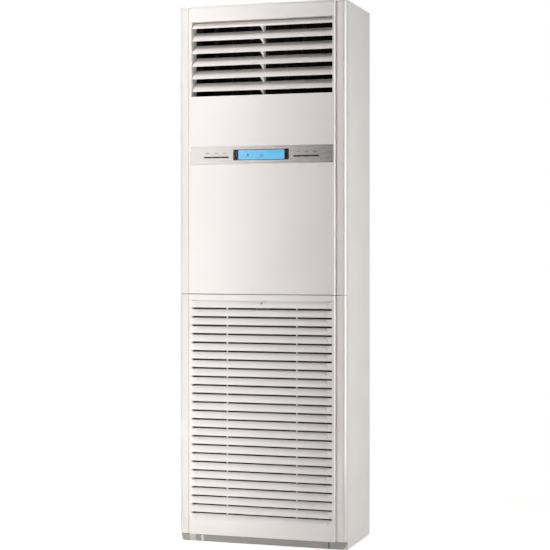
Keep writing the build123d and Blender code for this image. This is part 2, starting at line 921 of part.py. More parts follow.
def vane_carrier():
    """Black frame behind the louvres whose floor and roof carry the vertical vanes."""
    z = (frame_bottom - wall, frame_top + wall)
    frame = block((-frame_x, frame_x), (carrier_front_y, carrier_back_y), z)
    through = (carrier_front_y - 1, carrier_back_y + 1)
    frame -= block((-outlet_x, outlet_x), through, (frame_bottom, frame_top))
    flange_z = (z[0], casing_top - cover_flange_height - fit)
    flange = block((frame_x - wall / 2, casing_x), (carrier_back_y - wall, carrier_back_y), flange_z)
    for side in both_sides(flange):
        frame += side
    for x in vane_places():
        frame -= rod_z(vane_pin_radius + running_gap, x, vane_y, (z[0] - 1, z[1] + 1))
    return frame


def vane(x):
    """One vertical vane: a tapered blade, pivot pins and a crank pin under it."""
    nose, tail = vane_y - vane_nose, vane_y - vane_nose + vane_chord
    half = vane_thickness / 2
    section = region([
        (x - half / 2, nose),
        (x + half / 2, nose),
        (x + half, vane_y),
        (x + half / 2, tail),
        (x - half / 2, tail),
        (x - half, vane_y),
    ])
    z = (frame_bottom + vane_floor_gap, frame_top - vane_roof_gap)
    blade = along_z(section, z)
    blade += rod_z(vane_pin_radius, x, vane_y, (frame_bottom - wall + fit, z[0] + vane_floor_gap))
    blade += rod_z(vane_pin_radius, x, vane_y, (z[1] - vane_floor_gap, frame_top + wall - fit))
    crank_z = (frame_bottom + fit * 2, z[0] + vane_floor_gap)
    return blade + rod_z(vane_crank_pin_radius, x, vane_y + vane_crank, crank_z)


def driven_vane(x):
    """The vane whose lower pivot reaches down into the swing motor."""
    low = swing_motor_top() - motor_height + wall + fit
    return vane(x) + rod_z(vane_pin_radius, x, vane_y, (low, frame_bottom))


def vane_link():
    """Flat bar on the vanes' crank pins."""
    y = vane_y + vane_crank
    low = frame_bottom + (vane_floor_gap - vane_link_thickness) / 2
    z = (low, low + vane_link_thickness)
    half = vane_link_width / 2
    places = vane_places()
    bar = block((places[0], places[-1]), (y - half, y + half), z)
    for x in (places[0], places[-1]):
        bar += rod_z(half, x, y, z)
    for x in places:
        bar -= rod_z(vane_crank_pin_radius + running_gap, x, y, (z[0] - 1, z[1] + 1))
    return bar


def swing_motor_top():
    """Height of the swing motor's upper face, under the carrier."""
    return frame_bottom - wall - fit


def swing_motor():
    """Small geared motor under the carrier, on the first vane's axis."""
    x = vane_places()[0]
    top = swing_motor_top()
    body = rod_z(motor_radius, x, vane_y, (top - motor_height, top))
    reach, half = motor_radius + motor_ear, motor_ear / 2
    ears = (top - motor_ear_thickness, top)
    body += block((x - reach, x + reach), (vane_y - half, vane_y + half), ears)
    bore = (top - motor_height + wall, top + 1)
    return body - rod_z(vane_pin_radius + running_gap, x, vane_y, bore)


# Lower front panel

def slat_section():
    """One slat in (y, z) from its lip: the lip in front, the face sloping back and up."""
    return region([
        (0, 0),
        (0, lip_height),
        (slat_depth, slat_rise),
        (slat_depth + slat_thickness, slat_rise),
        (slat_thickness, 0),
    ])


def end_facet():
    """Fill at a slat's right end, whose slanted face closes the recess like the end of a scoop."""
    fill = region([(0, lip_height / 2), (0, slat_rise), (slat_depth, slat_rise)])
    solid = along_x(fill, (grille_x - corner_deep - 1, grille_x))
    across = Vector(-corner_deep, slat_depth, 0)
    down = Vector(-corner_lip, 0, lip_height - slat_rise)
    face = Plane(origin=(grille_x, 0, slat_rise), z_dir=across.cross(down))
    halves = [split(solid, bisect_by=face, keep=keep) for keep in (Keep.TOP, Keep.BOTTOM)]
    return max(halves, key=lambda half: half.center().X)


def slat_lips():
    """Height of every slat's lip, from the top one down."""
    return [first_lip_height - i * slot_pitch for i in range(slot_count + 1)]


def grille_bars(window):
    """What is joined to the lower panel's tray round and behind its slats."""
    lips = slat_lips()
    behind = (front_y + slat_depth, front_y + slat_depth + slat_thickness)
    across = (-grille_x, grille_x)
    ceiling = (window[1], window[1] + wall)
    bars = [
        block(across, (front_y + wall / 2, behind[1]), ceiling),
        block(across, behind, (lips[0] + slat_rise - 1, ceiling[1])),
    ]
    for x in (-rib_x, rib_x):
        rib = (x - rib_width / 2, x + rib_width / 2)
        bars.append(block(rib, (front_y + rib_start, front_y + rib_depth), window))
    cheek = (front_y + wall / 2, front_y + rib_depth)
    bars += both_sides(block((grille_x, panel_x - wall / 2), cheek, (window[0], ceiling[1])))
    return bars


def filter_runners():
    """Channels down both sides of the lower panel for the filter, and the ledges it stands on."""
    z = (filter_bottom + runner_rise, filter_top - runner_drop)
    lip = (panel_back + snug, panel_back + snug + runner_lip)
    pieces = both_sides(block((filter_x - filter_rail / 2, panel_x), lip, z))
    pieces += both_sides(block((panel_x - wall, panel_x), (panel_back - wall, lip[1]), z))
    top = filter_bottom - snug
    ledge_x = filter_x - ledge_inset
    ledge = block(
        (ledge_x, ledge_x + ledge_width),
        (front_y + wall / 2, panel_back),
        (top - ledge_height, top),
    )
    return pieces + both_sides(ledge)


def grille_pivots():
    """Two webs behind the foot of the lower panel, each with a pin into an ear on the base."""
    inner = hinge_ear_x + hinge_ear_wall + 3 * fit
    web = block(
        (inner, inner + hinge_ear_wall),
        (front_y + wall / 2, hinge_y + hinge_ear_radius),
        (lower_panel[0] + wall / 2, hinge_height + hinge_ear_radius),
    )
    pin = rod_x(hinge_pin_radius, (hinge_ear_x - fit, inner + hinge_ear_wall), hinge_y, hinge_height)
    return both_sides(web + pin)


def inlet_grille():
    """The lower panel: a moulded tray with its slats, ribs, filter runners, lock boss and pivots."""
    window = (slat_lips()[-1], grille_top)
    panel = panel_tray(lower_panel)
    panel -= block((-grille_x, grille_x), (front_y - 1, front_y + wall + 1), window)
    slat = along_x(slat_section(), (-grille_x - 1, grille_x + 1))
    cell = [slat] + both_sides(end_facet())
    slats = [Pos(0, front_y, z) * piece for z in slat_lips() for piece in cell]
    boss = rod_y(lock_boss_radius, lock_x, (front_y + lock_boss_inset, front_y + rib_depth), lock_z)
    panel = panel.fuse(boss, *slats, *grille_bars(window), *filter_runners(), *grille_pivots())
    panel -= rod_y(lock_radius + running_gap, lock_x, (front_y - 1, panel_back), lock_z)
    notch = (index_notch_x - index_notch_width / 2, index_notch_x + index_notch_width / 2)
    notch_z = (grille_top - 1, grille_top + index_notch_depth)
    return panel - block(notch, (front_y - 1, front_y + wall / 2), notch_z)


def grille_lock():
    """Quarter turn lock: a slotted barrel and the cam behind the panel, shown open."""
    cam_y = (front_y + cam_depth, front_y + cam_depth + cam_thickness)
    face = front_y + lock_inset
    half = cam_width / 2
    tip = lock_x + cam_length - half
    lock = block((lock_x, tip), cam_y, (lock_z - half, lock_z + half))
    for x in (lock_x, tip):
        lock += rod_y(half, x, cam_y, lock_z)
    lock += rod_y(lock_radius, lock_x, (face, cam_y[1]), lock_z)
    slot_x = (lock_x - lock_radius + lock_slot, lock_x + lock_radius - lock_slot)
    slot_z = (lock_z - lock_slot / 2, lock_z + lock_slot / 2)
    return lock - block(slot_x, (face - 1, face + lock_slot), slot_z)


def air_filter():
    """A net in a frame with cross bars, and a finger notch in its top edge round the lock."""
    back = panel_back - fit
    y = (back - filter_thickness, back)
    through = (y[0] - 1, y[1] + 1)
    half = filter_x
    net_top = filter_top - filter_grip_depth
    opening_x = (filter_rail - half, half - filter_rail)
    opening_z = (filter_bottom + filter_rail, net_top - filter_rail)
    frame = block((-half, half), y, (filter_bottom, filter_top))
    frame -= block(opening_x, through, opening_z)
    for x in (-rib_x, rib_x):
        bar = (x - filter_rail / 2, x + filter_rail / 2)
        frame += block(bar, y, (filter_bottom, net_top))
    for z in spread(filter_bars + 2, filter_bottom, net_top - filter_rail)[1:-1]:
        frame += block((-half, half), y, (z - filter_rail / 4, z + filter_rail / 4))
    middle = (y[0] + y[1]) / 2
    net = (middle - filter_net / 2, middle + filter_net / 2)
    frame += block((1 - half, half - 1), net, (filter_bottom + 1, net_top))
    grip = (lock_x - filter_grip_width / 2, lock_x + filter_grip_width / 2)
    return frame - block(grip, through, (net_top, filter_top + 1))


# Inner plates

def partition_plate():
    """Shelf between the blower room and the coil room, with the keeper flange for the lock."""
    back = inner_back - fit
    path = [
        (keeper_y, partition_height - keeper_height),
        (keeper_y, partition_height + partition_sheet),
        (back, partition_height + partition_sheet),
    ]
    plate = along_x(folded(path, -partition_sheet), (-casing_x, casing_x))
    low, high = partition_height - 1, partition_height + partition_sheet + 1
    mouth_x = (scroll_mouth()[0] - fit, scroll_mouth()[1] + fit)
    mouth_y = (scroll_front_y - scroll_wall - 2 * fit, scroll_back_y + scroll_wall + fit)
    plate -= block(mouth_x, mouth_y, (low, high))
    plate -= rod_z(spout_radius + hole_play, spout_x, drain_middle(), (low, high))
    for radius, share in pipe_sizes():
        plate -= rod_z(radius + hole_play, pipe_x, coil_point(share)[0], (low, high))
    corner = (side_x - front_flange - 2 * fit, side_x)
    clear = (front_y, side_front + sheet + 2 * fit)
    notch = block(corner, clear, (partition_height - keeper_height - 1, high))
    for side in both_sides(notch):
        plate -= side
    return plate


def duct_front_plate():
    """Front wall of the air duct, from the partition up to the vane carrier."""
    top = swing_motor_top()
    bottom = partition_height + partition_sheet + fit
    y = (duct_plate_y, duct_plate_y + duct_plate_sheet)
    across = (-casing_x, casing_x)
    plate = block(across, y, (bottom, top))
    plate += block(across, (y[0] - base_flange, y[1]), (bottom, bottom + duct_plate_sheet))
    x = vane_places()[0]
    reach = motor_radius + motor_ear + wall
    notch = (top - motor_height - wall, top + 1)
    return plate - block((x - reach, x + reach), (y[0] - 1, y[1] + 1), notch)


def duct_insulation():
    """Foam sheets on both sides and the back of the outlet duct."""
    z = (coil_top() + wall, casing_top - cover_flange_height - fit)
    back = inner_back - fit
    y = (carrier_back_y + fit, back - insulation - fit)
    side = block((casing_x - insulation, casing_x), y, z)
    rear = block((-casing_x, casing_x), (back - insulation, back), z)
    for x in (-bracket_hole_spacing / 2, bracket_hole_spacing / 2):
        hole = bracket_hole_radius + hole_play
        rear -= rod_y(hole, x, (back - 2 * insulation, back_y), casing_top - bracket_hole_drop)
    return both_sides(side) + [rear]


# Blower

def scroll_centres():
    """Centres and radii of the scroll's three quarter arcs, from the top to the left and round."""
    half = scroll_step / 2
    return [
        ((blower_x - half, blower_z - half), scroll_start_radius, 90),
        ((blower_x + half, blower_z - half), scroll_start_radius + scroll_step, 180),
        ((blower_x + half, blower_z + half), scroll_start_radius + 2 * scroll_step, 270),
    ]


def scroll_mouth():
    """Outer limits in X of the scroll's discharge duct."""
    centre, radius, _ = scroll_centres()[2]
    left = blower_x - scroll_step / 2 + tongue_radius
    return (left - scroll_wall, centre[0] + radius + scroll_wall)


def scroll_region(growth, top):
    """Side view of the scroll in (x, z): three growing arcs, the duct upwards and the tongue."""
    edges = [
        CenterArc(centre, radius + growth, start, 90)
        for centre, radius, start in scroll_centres()
    ]
    (x, z), radius, _ = scroll_centres()[0]
    tongue = CenterArc((x, z + radius + tongue_radius), tongue_radius - growth, -90, 90)
    last, corner = edges[-1] @ 1, tongue @ 1
    duct = Polyline(last, (last.X, top), (corner.X, top), corner)
    return make_face(edges + list(duct.edges()) + [tongue])


def scroll_casing():
    """The scroll: a rolled wrapper and the rear side plate, open in front and at the top."""
    top = partition_height + partition_sheet
    outer = scroll_region(scroll_wall, top)
    inner = scroll_region(0, top)
    casing = along_y(outer - inner, (scroll_front_y, scroll_back_y))
    casing += along_y(outer, (scroll_back_y, scroll_back_y + scroll_wall))
    hole = motor_body_radius + blower_motor_gap
    reach = (scroll_back_y - 1, scroll_back_y + scroll_wall + 1)
    casing -= rod_y(hole, blower_x, reach, blower_z)
    return casing


def inlet_bell():
    """Front side plate of the scroll, with the flared mouth that leads air into the wheel."""
    y = (scroll_front_y - scroll_wall - fit, scroll_front_y - fit)
    plate = along_y(scroll_region(scroll_wall, partition_height + partition_sheet), y)
    mouth = bell_radius + bell_lip
    plate -= rod_y(mouth, blower_x, (front_y, back_y), blower_z)
    lip = SlotArc(CenterArc((mouth, bell_lip), bell_lip, 180, 90), bell_wall)
    flare = revolve(Plane.XY * lip, axis=Axis.Y)
    return plate + Pos(blower_x, (y[0] + y[1]) / 2, blower_z) * flare


def wheel_back():
    """Y of the wheel's back face."""
    return scroll_front_y + scroll_side_gap + wheel_width


def motor_front():
    """Y of the blower motor's front face, behind the wheel."""
    return wheel_back() + blower_motor_gap


def blower_wheel():
    """Forward curved wheel: back plate, hub, blades and front ring."""
    back = wheel_back()
    front = back - wheel_width
    plate = rod_y(wheel_radius, 0, (back - wheel_plate, back), 0)
    hub = rod_y(hub_radius, 0, (back - hub_length, back), 0)
    ring = rod_y(wheel_radius, 0, (front, front + wheel_ring), 0)
    ring -= rod_y(wheel_radius - wheel_plate, 0, (front - 1, front + wheel_ring + 1), 0)
    root, tip = wheel_radius - blade_chord, wheel_radius - blade_thickness
    curve = ThreePointArc((root, 0), ((root + tip) / 2, blade_lean / 3), (tip, blade_lean))
    blade = along_y(SlotArc(curve, blade_thickness), (front, back - wheel_plate / 2))
    limit = rod_y(wheel_radius - wheel_plate / 2, 0, (front - 1, back + 1), 0)
    blade &= limit
    blades = [Rot(0, 360 * i / wheel_blades, 0) * blade for i in range(wheel_blades)]
    wheel = plate.fuse(hub, ring, *blades)
    wheel -= rod_y(shaft_radius + running_gap, 0, (back - hub_length - 1, back + 1), 0)
    return Pos(blower_x, 0, blower_z) * wheel


def blower_shaft():
    """Steel shaft from the motor through the hub, with a nut on its nose."""
    hub_front = wheel_back() - hub_length
    shaft = rod_y(
        shaft_radius, blower_x, (hub_front - shaft_nose, motor_front() + shaft_seat), blower_z
    )
    nut_y = (hub_front - shaft_nose / 2 - fit, hub_front - fit)
    nut = along_y(Pos(blower_x, blower_z) * RegularPolygon(2 * shaft_radius, 6), nut_y)
    return shaft + nut


def blower_motor():
    """Motor body with a bore for its shaft."""
    y = (motor_front(), motor_front() + motor_body_length)
    body = rod_y(motor_body_radius, blower_x, y, blower_z)
    body = chamfer(body.edges().filter_by(GeomType.CIRCLE), motor_chamfer)
    bore = (y[0] - 1, y[0] + shaft_seat + fit)
    return body - rod_y(shaft_radius + running_gap, blower_x, bore, blower_z)


def motor_bracket():
    """Ring round the motor with three arms that reach the scroll's rear plate."""
    y = (scroll_back_y + scroll_wall + fit, scroll_back_y + scroll_wall + fit + bracket_thickness)
    ring = rod_y(motor_body_radius + bracket_arm_width / 2, 0, y, 0)
    for turn in (90, 210, 330):
        arm = block((0, bracket_reach), y, (-bracket_arm_width / 2, bracket_arm_width / 2))
        ring += Rot(0, turn, 0) * arm
    ring -= rod_y(motor_body_radius + fit, 0, (y[0] - 1, y[1] + 1), 0)
    return Pos(blower_x, 0, blower_z) * ring


# Coil and drain

def coil_place():
    """The leaning coil's own frame: its foot, with local Z along the coil."""
    return Pos(0, coil_foot_y, coil_foot_z) * Rot(-coil_angle, 0, 0)


def coil_point(share):
    """Y and Z of the coil's middle line at a share of its length."""
    lean = radians(coil_angle)
    reach = share * coil_length
    return coil_foot_y + reach * sin(lean), coil_foot_z + reach * cos(lean)


def coil_top():
    """Height of the coil's highest edge."""
    return coil_point(1)[1] + coil_thickness / 2 * sin(radians(coil_angle))


def evaporator_fins():
    """The fin pack: one long strip folded to and fro between the end plates."""
    half = coil_thickness / 2
    end = coil_width / 2 - fit - fin_thickness
    path = []
    for i, x in enumerate(spread(2 * int(end / fin_pitch), -end, end)):
        turn = [(x, -half), (x, half)]
        path += turn if i % 2 == 0 else turn[::-1]
    strip = folded(path, fin_thickness)
    return coil_place() * along_z(strip, (0, coil_length))


def evaporator_plates():
    """End plates with turned flanges; they stand on the floor of the drain pan."""
    half = coil_thickness / 2
    x = (coil_width / 2, coil_width / 2 + end_plate)
    plate = coil_place() * block(x, (-half, half), (0, coil_length))
    foot = (coil_foot_y - half / 2, coil_foot_y + half / 2)
    return both_sides(plate + block(x, foot, (drain_floor() + fit, coil_foot_z + half)))


def evaporator_tubes():
    """Return bends at the right end, each joining a front tube to a rear one."""
    start = coil_width / 2 + end_plate + fit
    bends = []
    for z in spread(bend_count, coil_length / bend_count / 2, coil_length * (1 - 0.5 / bend_count)):
        path = Line((start, -bend_radius), (start + bend_leg, -bend_radius))
        path += CenterArc((start + bend_leg, 0), bend_radius, -90, 180)
        path += Line((start + bend_leg, bend_radius), (start, bend_radius))
        profile = Plane(origin=(start, -bend_radius, 0), z_dir=(1, 0, 0)) * Circle(tube_radius)
        bend = sweep(profile, path=path)
        bends.append(coil_place() * Pos(0, 0, z) * bend)
    return bends


def drain_floor():
    """Height of the drain pan's inner floor."""
    return partition_height + partition_sheet + drain_gap + drain_wall


def drain_middle():
    """Y of the drain spout."""
    return (drain_front_y + drain_back_y) / 2


def drain_pan():
    """Tray under the coil, on three feet rails, with its spout down through the partition."""
    low = drain_floor() - drain_wall
    top = low + drain_depth
    x, y = side_x - drain_side_room, (drain_front_y, drain_back_y)
    pan = block((-x, x), y, (low, top))
    pan = fillet(pan.edges().filter_by(Axis.Z), drain_corner)
    inner_x = (drain_wall - x, x - drain_wall)
    inner_y = (y[0] + drain_wall, y[1] - drain_wall)
    inner = block(inner_x, inner_y, (low + drain_wall, top + 1))
    pan -= fillet(inner.edges().filter_by(Axis.Z), drain_corner - drain_wall)
    for foot in (-x / 2, 0, x / 2):
        span = (foot - base_flange / 2, foot + base_flange / 2)
        rail = (y[0] + drain_corner, scroll_front_y - drain_corner)
        pan += block(span, rail, (low - drain_gap + fit, low + drain_wall / 2))
    bottom = drain_floor() - spout_length
    pan += rod_z(spout_radius, spout_x, drain_middle(), (bottom, low + drain_wall / 2))
    return pan - rod_z(spout_bore, spout_x, drain_middle(), (bottom - 1, drain_floor() + 1))


def pipe_sizes():
    """Radius of each pipe, and where along the coil it leaves."""
    return ((gas_radius, gas_share), (liquid_radius, liquid_share))


def pipe(radius, share):
    """One copper pipe: out of the coil's left end plate, round an elbow and straight down."""
    y, top = coil_point(share)
    start = -coil_width / 2 - end_plate - fit
    bend = start - pipe_x
    side = Plane(origin=(start, y, top - bend), x_dir=(1, 0, 0), z_dir=(0, -1, 0))
    route = side * CenterArc((0, 0), bend, 90, 90) + Line((pipe_x, y, top - bend), (pipe_x, y, pipe_bottom))
    ring = Plane(origin=(start, y, top), z_dir=(-1, 0, 0)) * (Circle(radius) - Circle(radius - pipe_wall))
    return sweep(ring, path=route)


def refrigerant_pipes():
    """Gas and liquid pipes from the coil to the flare nuts in the lower room."""
    return [pipe(radius, share) for radius, share in pipe_sizes()]


def flare_nuts():
    """A hexagon nut on the end of each pipe."""
    z = (pipe_bottom - nut_length / 2, pipe_bottom + nut_length / 2)
    nuts = []
    for flats, (radius, share) in zip((gas_nut_flats, liquid_nut_flats), pipe_sizes()):
        y = coil_point(share)[0]
        nut = along_z(Pos(pipe_x, y) * RegularPolygon(flats / 2, 6, major_radius=False), z)
        nuts.append(nut - rod_z(radius + running_gap, pipe_x, y, (z[0] - 1, z[1] + 1)))
    return nuts


# Electrics

def box_y():
    """Front and back of the electrical box."""
    back = duct_plate_y - fit
    return (back - box_depth, back)


def electrical_box():
    """Steel box on the duct's front plate, open in front."""
    front, back = box_y()
    box = block((box_left, box_right), (front, back), (box_bottom, box_top))
    inner_x = (box_left + sheet, box_right - sheet)
    box -= block(inner_x, (front - 1, back - sheet), (box_bottom + sheet, box_top - sheet))
    hole = (box_bottom - 1, box_bottom + 2 * sheet)
    return box - rod_z(cable_bore_radius, (box_left + box_right) / 2, (front + back) / 2, hole)


def electrical_cover():
    """Lid with a skirt that goes over the box's edges."""
    front = box_y()[0]
    x = (box_left - fit, box_right + fit)
    z = (box_bottom - fit, box_top + fit)
    lid = block(
        (x[0] - sheet, x[1] + sheet),
        (front - fit - sheet, front + cover_skirt),
        (z[0] - sheet, z[1] + sheet),
    )
    return lid - block(x, (front - fit, front + cover_skirt + 1), z)


def main_board():
    """Control board on four posts, with capacitors, relays and a transformer."""
    back = box_y()[1] - sheet - fit
    face = back - main_board_standoff - board_thickness
    x = (box_left + main_board_margin, box_right - main_board_margin)
    z = (box_bottom + main_board_margin, box_top - main_board_margin)
    board = block(x, (face, face + board_thickness), z)
    for post_x in (x[0] + post_inset, x[1] - post_inset):
        for post_z in (z[0] + post_inset, z[1] - post_inset):
            board += rod_y(post_radius, post_x, (face, back), post_z)
    root = face + board_thickness / 2
    for i in range(2):
        left = x[0] + post_inset + (2.5 * i + 2) * capacitor_radius
        height = z[1] - post_inset - 2 * capacitor_radius
        board += rod_y(capacitor_radius, left, (face - capacitor_length, root), height)
    for i in range(relay_count):
        right = x[1] - post_inset - relay_pitch * i
        reach = (z[0] + 2 * post_inset, z[0] + 2 * post_inset + relay_height)
        board += block((right - relay_width, right), (face - relay_depth, root), reach)
    right, top = x[1] - 2 * post_inset, z[1] - 2 * post_inset
    block_x = (right - transformer_size, right)
    return board + block(block_x, (face - 2 * relay_depth, root), (top - transformer_size, top))


def terminal_block():
    """Screw terminals on the duct's front plate, beside the box."""
    back = duct_plate_y - fit
    front = back - terminal_depth
    bottom, top = terminal_bottom, terminal_bottom + terminal_height
    profile = region([
        (back, bottom),
        (back, top),
        (back - terminal_depth / 2, top),
        (front, top - terminal_step),
        (front, bottom + terminal_step),
        (back - terminal_depth / 2, bottom),
    ])
    body = along_x(profile, (terminal_left, terminal_right))
    pitch = (terminal_right - terminal_left) / terminal_poles
    for i in range(terminal_poles):
        x = terminal_left + pitch * (i + 0.5)
        hole = (front - 1, front + terminal_hole_depth)
        body -= rod_y(terminal_hole_radius, x, hole, (bottom + top) / 2)
    return body


# All sub-parts

os.makedirs("parts", exist_ok=True)

trims = corner_trim()
save("corner_trim_right", *trims)
save("corner_trim_left", *[mirror(piece, about=Plane.YZ) for piece in trims])
side = side_panel()
save("side_panel_right", side)
save("side_panel_left", mirror(side, about=Plane.YZ))
save("rear_panel", rear_panel())
save("cabinet_screws", *cabinet_screws())
save("cable_grommet", cable_grommet())
save("top_cover", top_cover())
save("base_pan", base_pan())
save("kick_plate", kick_plate())
save("upper_front_panel", upper_front_panel())
save("display_bezel", display_bezel())
save("display_window", display_window())
save("display_board", *display_board())
for number, x in enumerate(button_places(), 1):
    save(f"button_{number}", button(x))
save("outlet_frame", outlet_frame())
for number, z in enumerate(louvre_heights(), 1):
    save(f"louvre_{number}", louvre(z))
save("louvre_link", louvre_link())
save("vane_carrier", vane_carrier())
for number, x in enumerate(vane_places(), 1):
    save(f"vane_{number}", driven_vane(x) if number == 1 else vane(x))
save("vane_link", vane_link())
save("swing_motor", swing_motor())
save("inlet_grille", inlet_grille())
save("grille_lock", grille_lock())
save("air_filter", air_filter())
save("partition_plate", partition_plate())
save("duct_front_plate", duct_front_plate())
save("duct_insulation", *duct_insulation())
save("scroll_casing", scroll_casing())
save("inlet_bell", inlet_bell())
save("blower_wheel", blower_wheel())
save("blower_shaft", blower_shaft())
save("blower_motor", blower_motor())
save("motor_bracket", motor_bracket())
save("evaporator_fins", evaporator_fins())
save("evaporator_plates", *evaporator_plates())
save("evaporator_tubes", *evaporator_tubes())
save("drain_pan", drain_pan())
save("refrigerant_pipes", *refrigerant_pipes())
save("flare_nuts", *flare_nuts())
save("electrical_box", electrical_box())
save("electrical_cover", electrical_cover())
save("main_board", main_board())
save("terminal_block", terminal_block())
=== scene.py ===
import json
import math

import bmesh
import bpy
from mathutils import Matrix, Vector


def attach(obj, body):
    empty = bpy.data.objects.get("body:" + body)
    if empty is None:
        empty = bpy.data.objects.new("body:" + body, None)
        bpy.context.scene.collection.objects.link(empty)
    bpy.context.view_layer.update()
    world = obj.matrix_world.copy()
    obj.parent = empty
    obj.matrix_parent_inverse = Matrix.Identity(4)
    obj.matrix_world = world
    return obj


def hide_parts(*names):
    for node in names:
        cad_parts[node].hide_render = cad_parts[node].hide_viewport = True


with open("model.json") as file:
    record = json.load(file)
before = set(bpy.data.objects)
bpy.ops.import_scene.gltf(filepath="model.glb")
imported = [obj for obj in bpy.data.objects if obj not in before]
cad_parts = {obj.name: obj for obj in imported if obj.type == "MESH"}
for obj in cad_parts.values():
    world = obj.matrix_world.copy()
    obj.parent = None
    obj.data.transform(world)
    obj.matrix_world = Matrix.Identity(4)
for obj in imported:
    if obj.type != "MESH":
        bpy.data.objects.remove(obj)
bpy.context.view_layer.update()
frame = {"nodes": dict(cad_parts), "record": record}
nodes = frame["nodes"]
print("frame loaded:", len(nodes), "nodes")


# Small helpers

def mm(*values):
    return Vector([value / 1000 for value in values])


def linearColour(hexText):
    # sRGB hex to the linear values that the shaders take
    parts = [int(hexText[i:i + 2], 16) / 255 for i in (1, 3, 5)]
    return tuple(p / 12.92 if p <= 0.04045 else ((p + 0.055) / 1.055) ** 2.4 for p in parts) + (1.0,)


def addNode(tree, kind, settings=None, links=None, tones=None):
    # one shader node: settings are attributes or input values, links are input name to output socket, and
    # tones are a colour ramp's places and colours
    node = tree.nodes.new(kind)
    for key, value in (settings or {}).items():
        if isinstance(key, int) or key in node.inputs:
            node.inputs[key].default_value = value
        else:
            setattr(node, key, value)
    for key, source in (links or {}).items():
        tree.links.new(source, node.inputs[key])
    for i, (place, colour) in enumerate((tones or {}).items()):
        node.color_ramp.elements[i].position = place
        node.color_ramp.elements[i].color = linearColour(colour)
    return node


def emptyMaterial(name):
    material = bpy.data.materials.new(name)
    material.use_nodes = True
    material.node_tree.nodes.clear()
    return material, material.node_tree


def startMaterial(name, settings, stretch=(1, 1, 1)):
    # place is the spot on the piece; patterns run longer along the axes with a stretch above 1
    material, tree = emptyMaterial(name)
    shader = addNode(tree, "ShaderNodeBsdfPrincipled", settings)
    addNode(tree, "ShaderNodeOutputMaterial", links={"Surface": shader.outputs["BSDF"]})
    spot = addNode(tree, "ShaderNodeTexCoord").outputs["Object"]
    place = addNode(tree, "ShaderNodeMapping", {"Scale": [1 / s for s in stretch]}, {"Vector": spot})
    return material, tree, shader, place.outputs["Vector"]


bevelSamples = 4  # rays that a softened edge takes


def driveShader(tree, shader, look, colour, gloss, height):
    # what changes over a surface: its colour, a roughness that follows gloss, and a relief that follows
    # height. edgeMm softens the solid's edges in the shading
    smooth, rough = look["roughness"]
    spread = addNode(tree, "ShaderNodeMapRange", {"To Min": smooth, "To Max": rough}, {"Value": gloss})
    bump = addNode(tree, "ShaderNodeBump", {"Strength": look["relief"], "Distance": look["depthMm"] / 1000},
                   {"Height": height})
    if "edgeMm" in look:
        soft = addNode(tree, "ShaderNodeBevel", {"samples": bevelSamples, "Radius": look["edgeMm"] / 1000})
        tree.links.new(soft.outputs["Normal"], bump.inputs["Normal"])
    tree.links.new(colour, shader.inputs["Base Color"])
    tree.links.new(spread.outputs["Result"], shader.inputs["Roughness"])
    tree.links.new(bump.outputs["Normal"], shader.inputs["Normal"])


# Materials. In a look, tones are the colours at places on the pattern's run from 0 to 1, roughness is the
# pair at its two ends, and relief is how strongly the bumps of depthMm show

# Gloss ABS, injection moulded: warm white with a soft shine and a faint moulding ripple
panelLook = {"tones": {0.3: "#ECE6E3", 0.7: "#EEE9E6"}, "cloudMm": 160.0, "ior": 1.54,
             "roughness": (0.16, 0.22), "polishMm": 1.2, "rippleMm": 9.0, "depthMm": 0.012, "relief": 0.35,
             "edgeMm": 1.4}


def glossAbs(name, look):
    material, tree, shader, place = startMaterial(name, {"IOR": look["ior"]})
    cloud = addNode(tree, "ShaderNodeTexNoise", {"Scale": 1000 / look["cloudMm"]}, {"Vector": place})
    ripple = addNode(tree, "ShaderNodeTexNoise", {"Scale": 1000 / look["rippleMm"], "Detail": 1.0},
                     {"Vector": place})
    # tool polish, drawn far coarser than real so that a close view shows it
    polish = addNode(tree, "ShaderNodeTexNoise", {"Scale": 1000 / look["polishMm"]}, {"Vector": place})
    colour = addNode(tree, "ShaderNodeValToRGB", links={"Fac": cloud.outputs["Fac"]}, tones=look["tones"])
    driveShader(tree, shader, look, colour.outputs["Color"], polish.outputs["Fac"], ripple.outputs["Fac"])
    return material


# Powder-coated steel sheet: a satin white with the fine orange peel of baked powder
sheetLook = {"tones": {0.3: "#E2DED9", 0.7: "#E6E2DE"}, "cloudMm": 140.0, "ior": 1.52,
             "roughness": (0.37, 0.47), "peelMm": 2.2, "depthMm": 0.03, "relief": 0.5, "edgeMm": 0.6}
# The same coat on the kick strip: mid grey and a little duller
kickLook = {**sheetLook, "tones": {0.3: "#A7A39F", 0.7: "#B0ACA8"}, "roughness": (0.45, 0.55)}
# Baked enamel on the motor's shell: near black with a satin shine
motorLook = {**sheetLook, "tones": {0.3: "#1C1D1F", 0.7: "#26282A"}, "roughness": (0.33, 0.43)}


def powderCoat(name, look):
    material, tree, shader, place = startMaterial(name, {"IOR": look["ior"]})
    cloud = addNode(tree, "ShaderNodeTexNoise", {"Scale": 1000 / look["cloudMm"]}, {"Vector": place})
    peel = addNode(tree, "ShaderNodeTexNoise", {"Scale": 1000 / look["peelMm"], "Detail": 3.0},
                   {"Vector": place}).outputs["Fac"]
    colour = addNode(tree, "ShaderNodeValToRGB", links={"Fac": cloud.outputs["Fac"]}, tones=look["tones"])
    driveShader(tree, shader, look, colour.outputs["Color"], peel, peel)
    return material


# Anodised aluminium, brushed along its length: long fine streaks and a broad stretched shine
bandLook = {"tones": {0.3: "#E1DAD7", 0.7: "#EFE9E6"}, "roughness": (0.22, 0.31), "anisotropic": 0.5,
            "streakMm": 0.6, "stretch": (160, 1, 1), "depthMm": 0.003, "relief": 0.3}


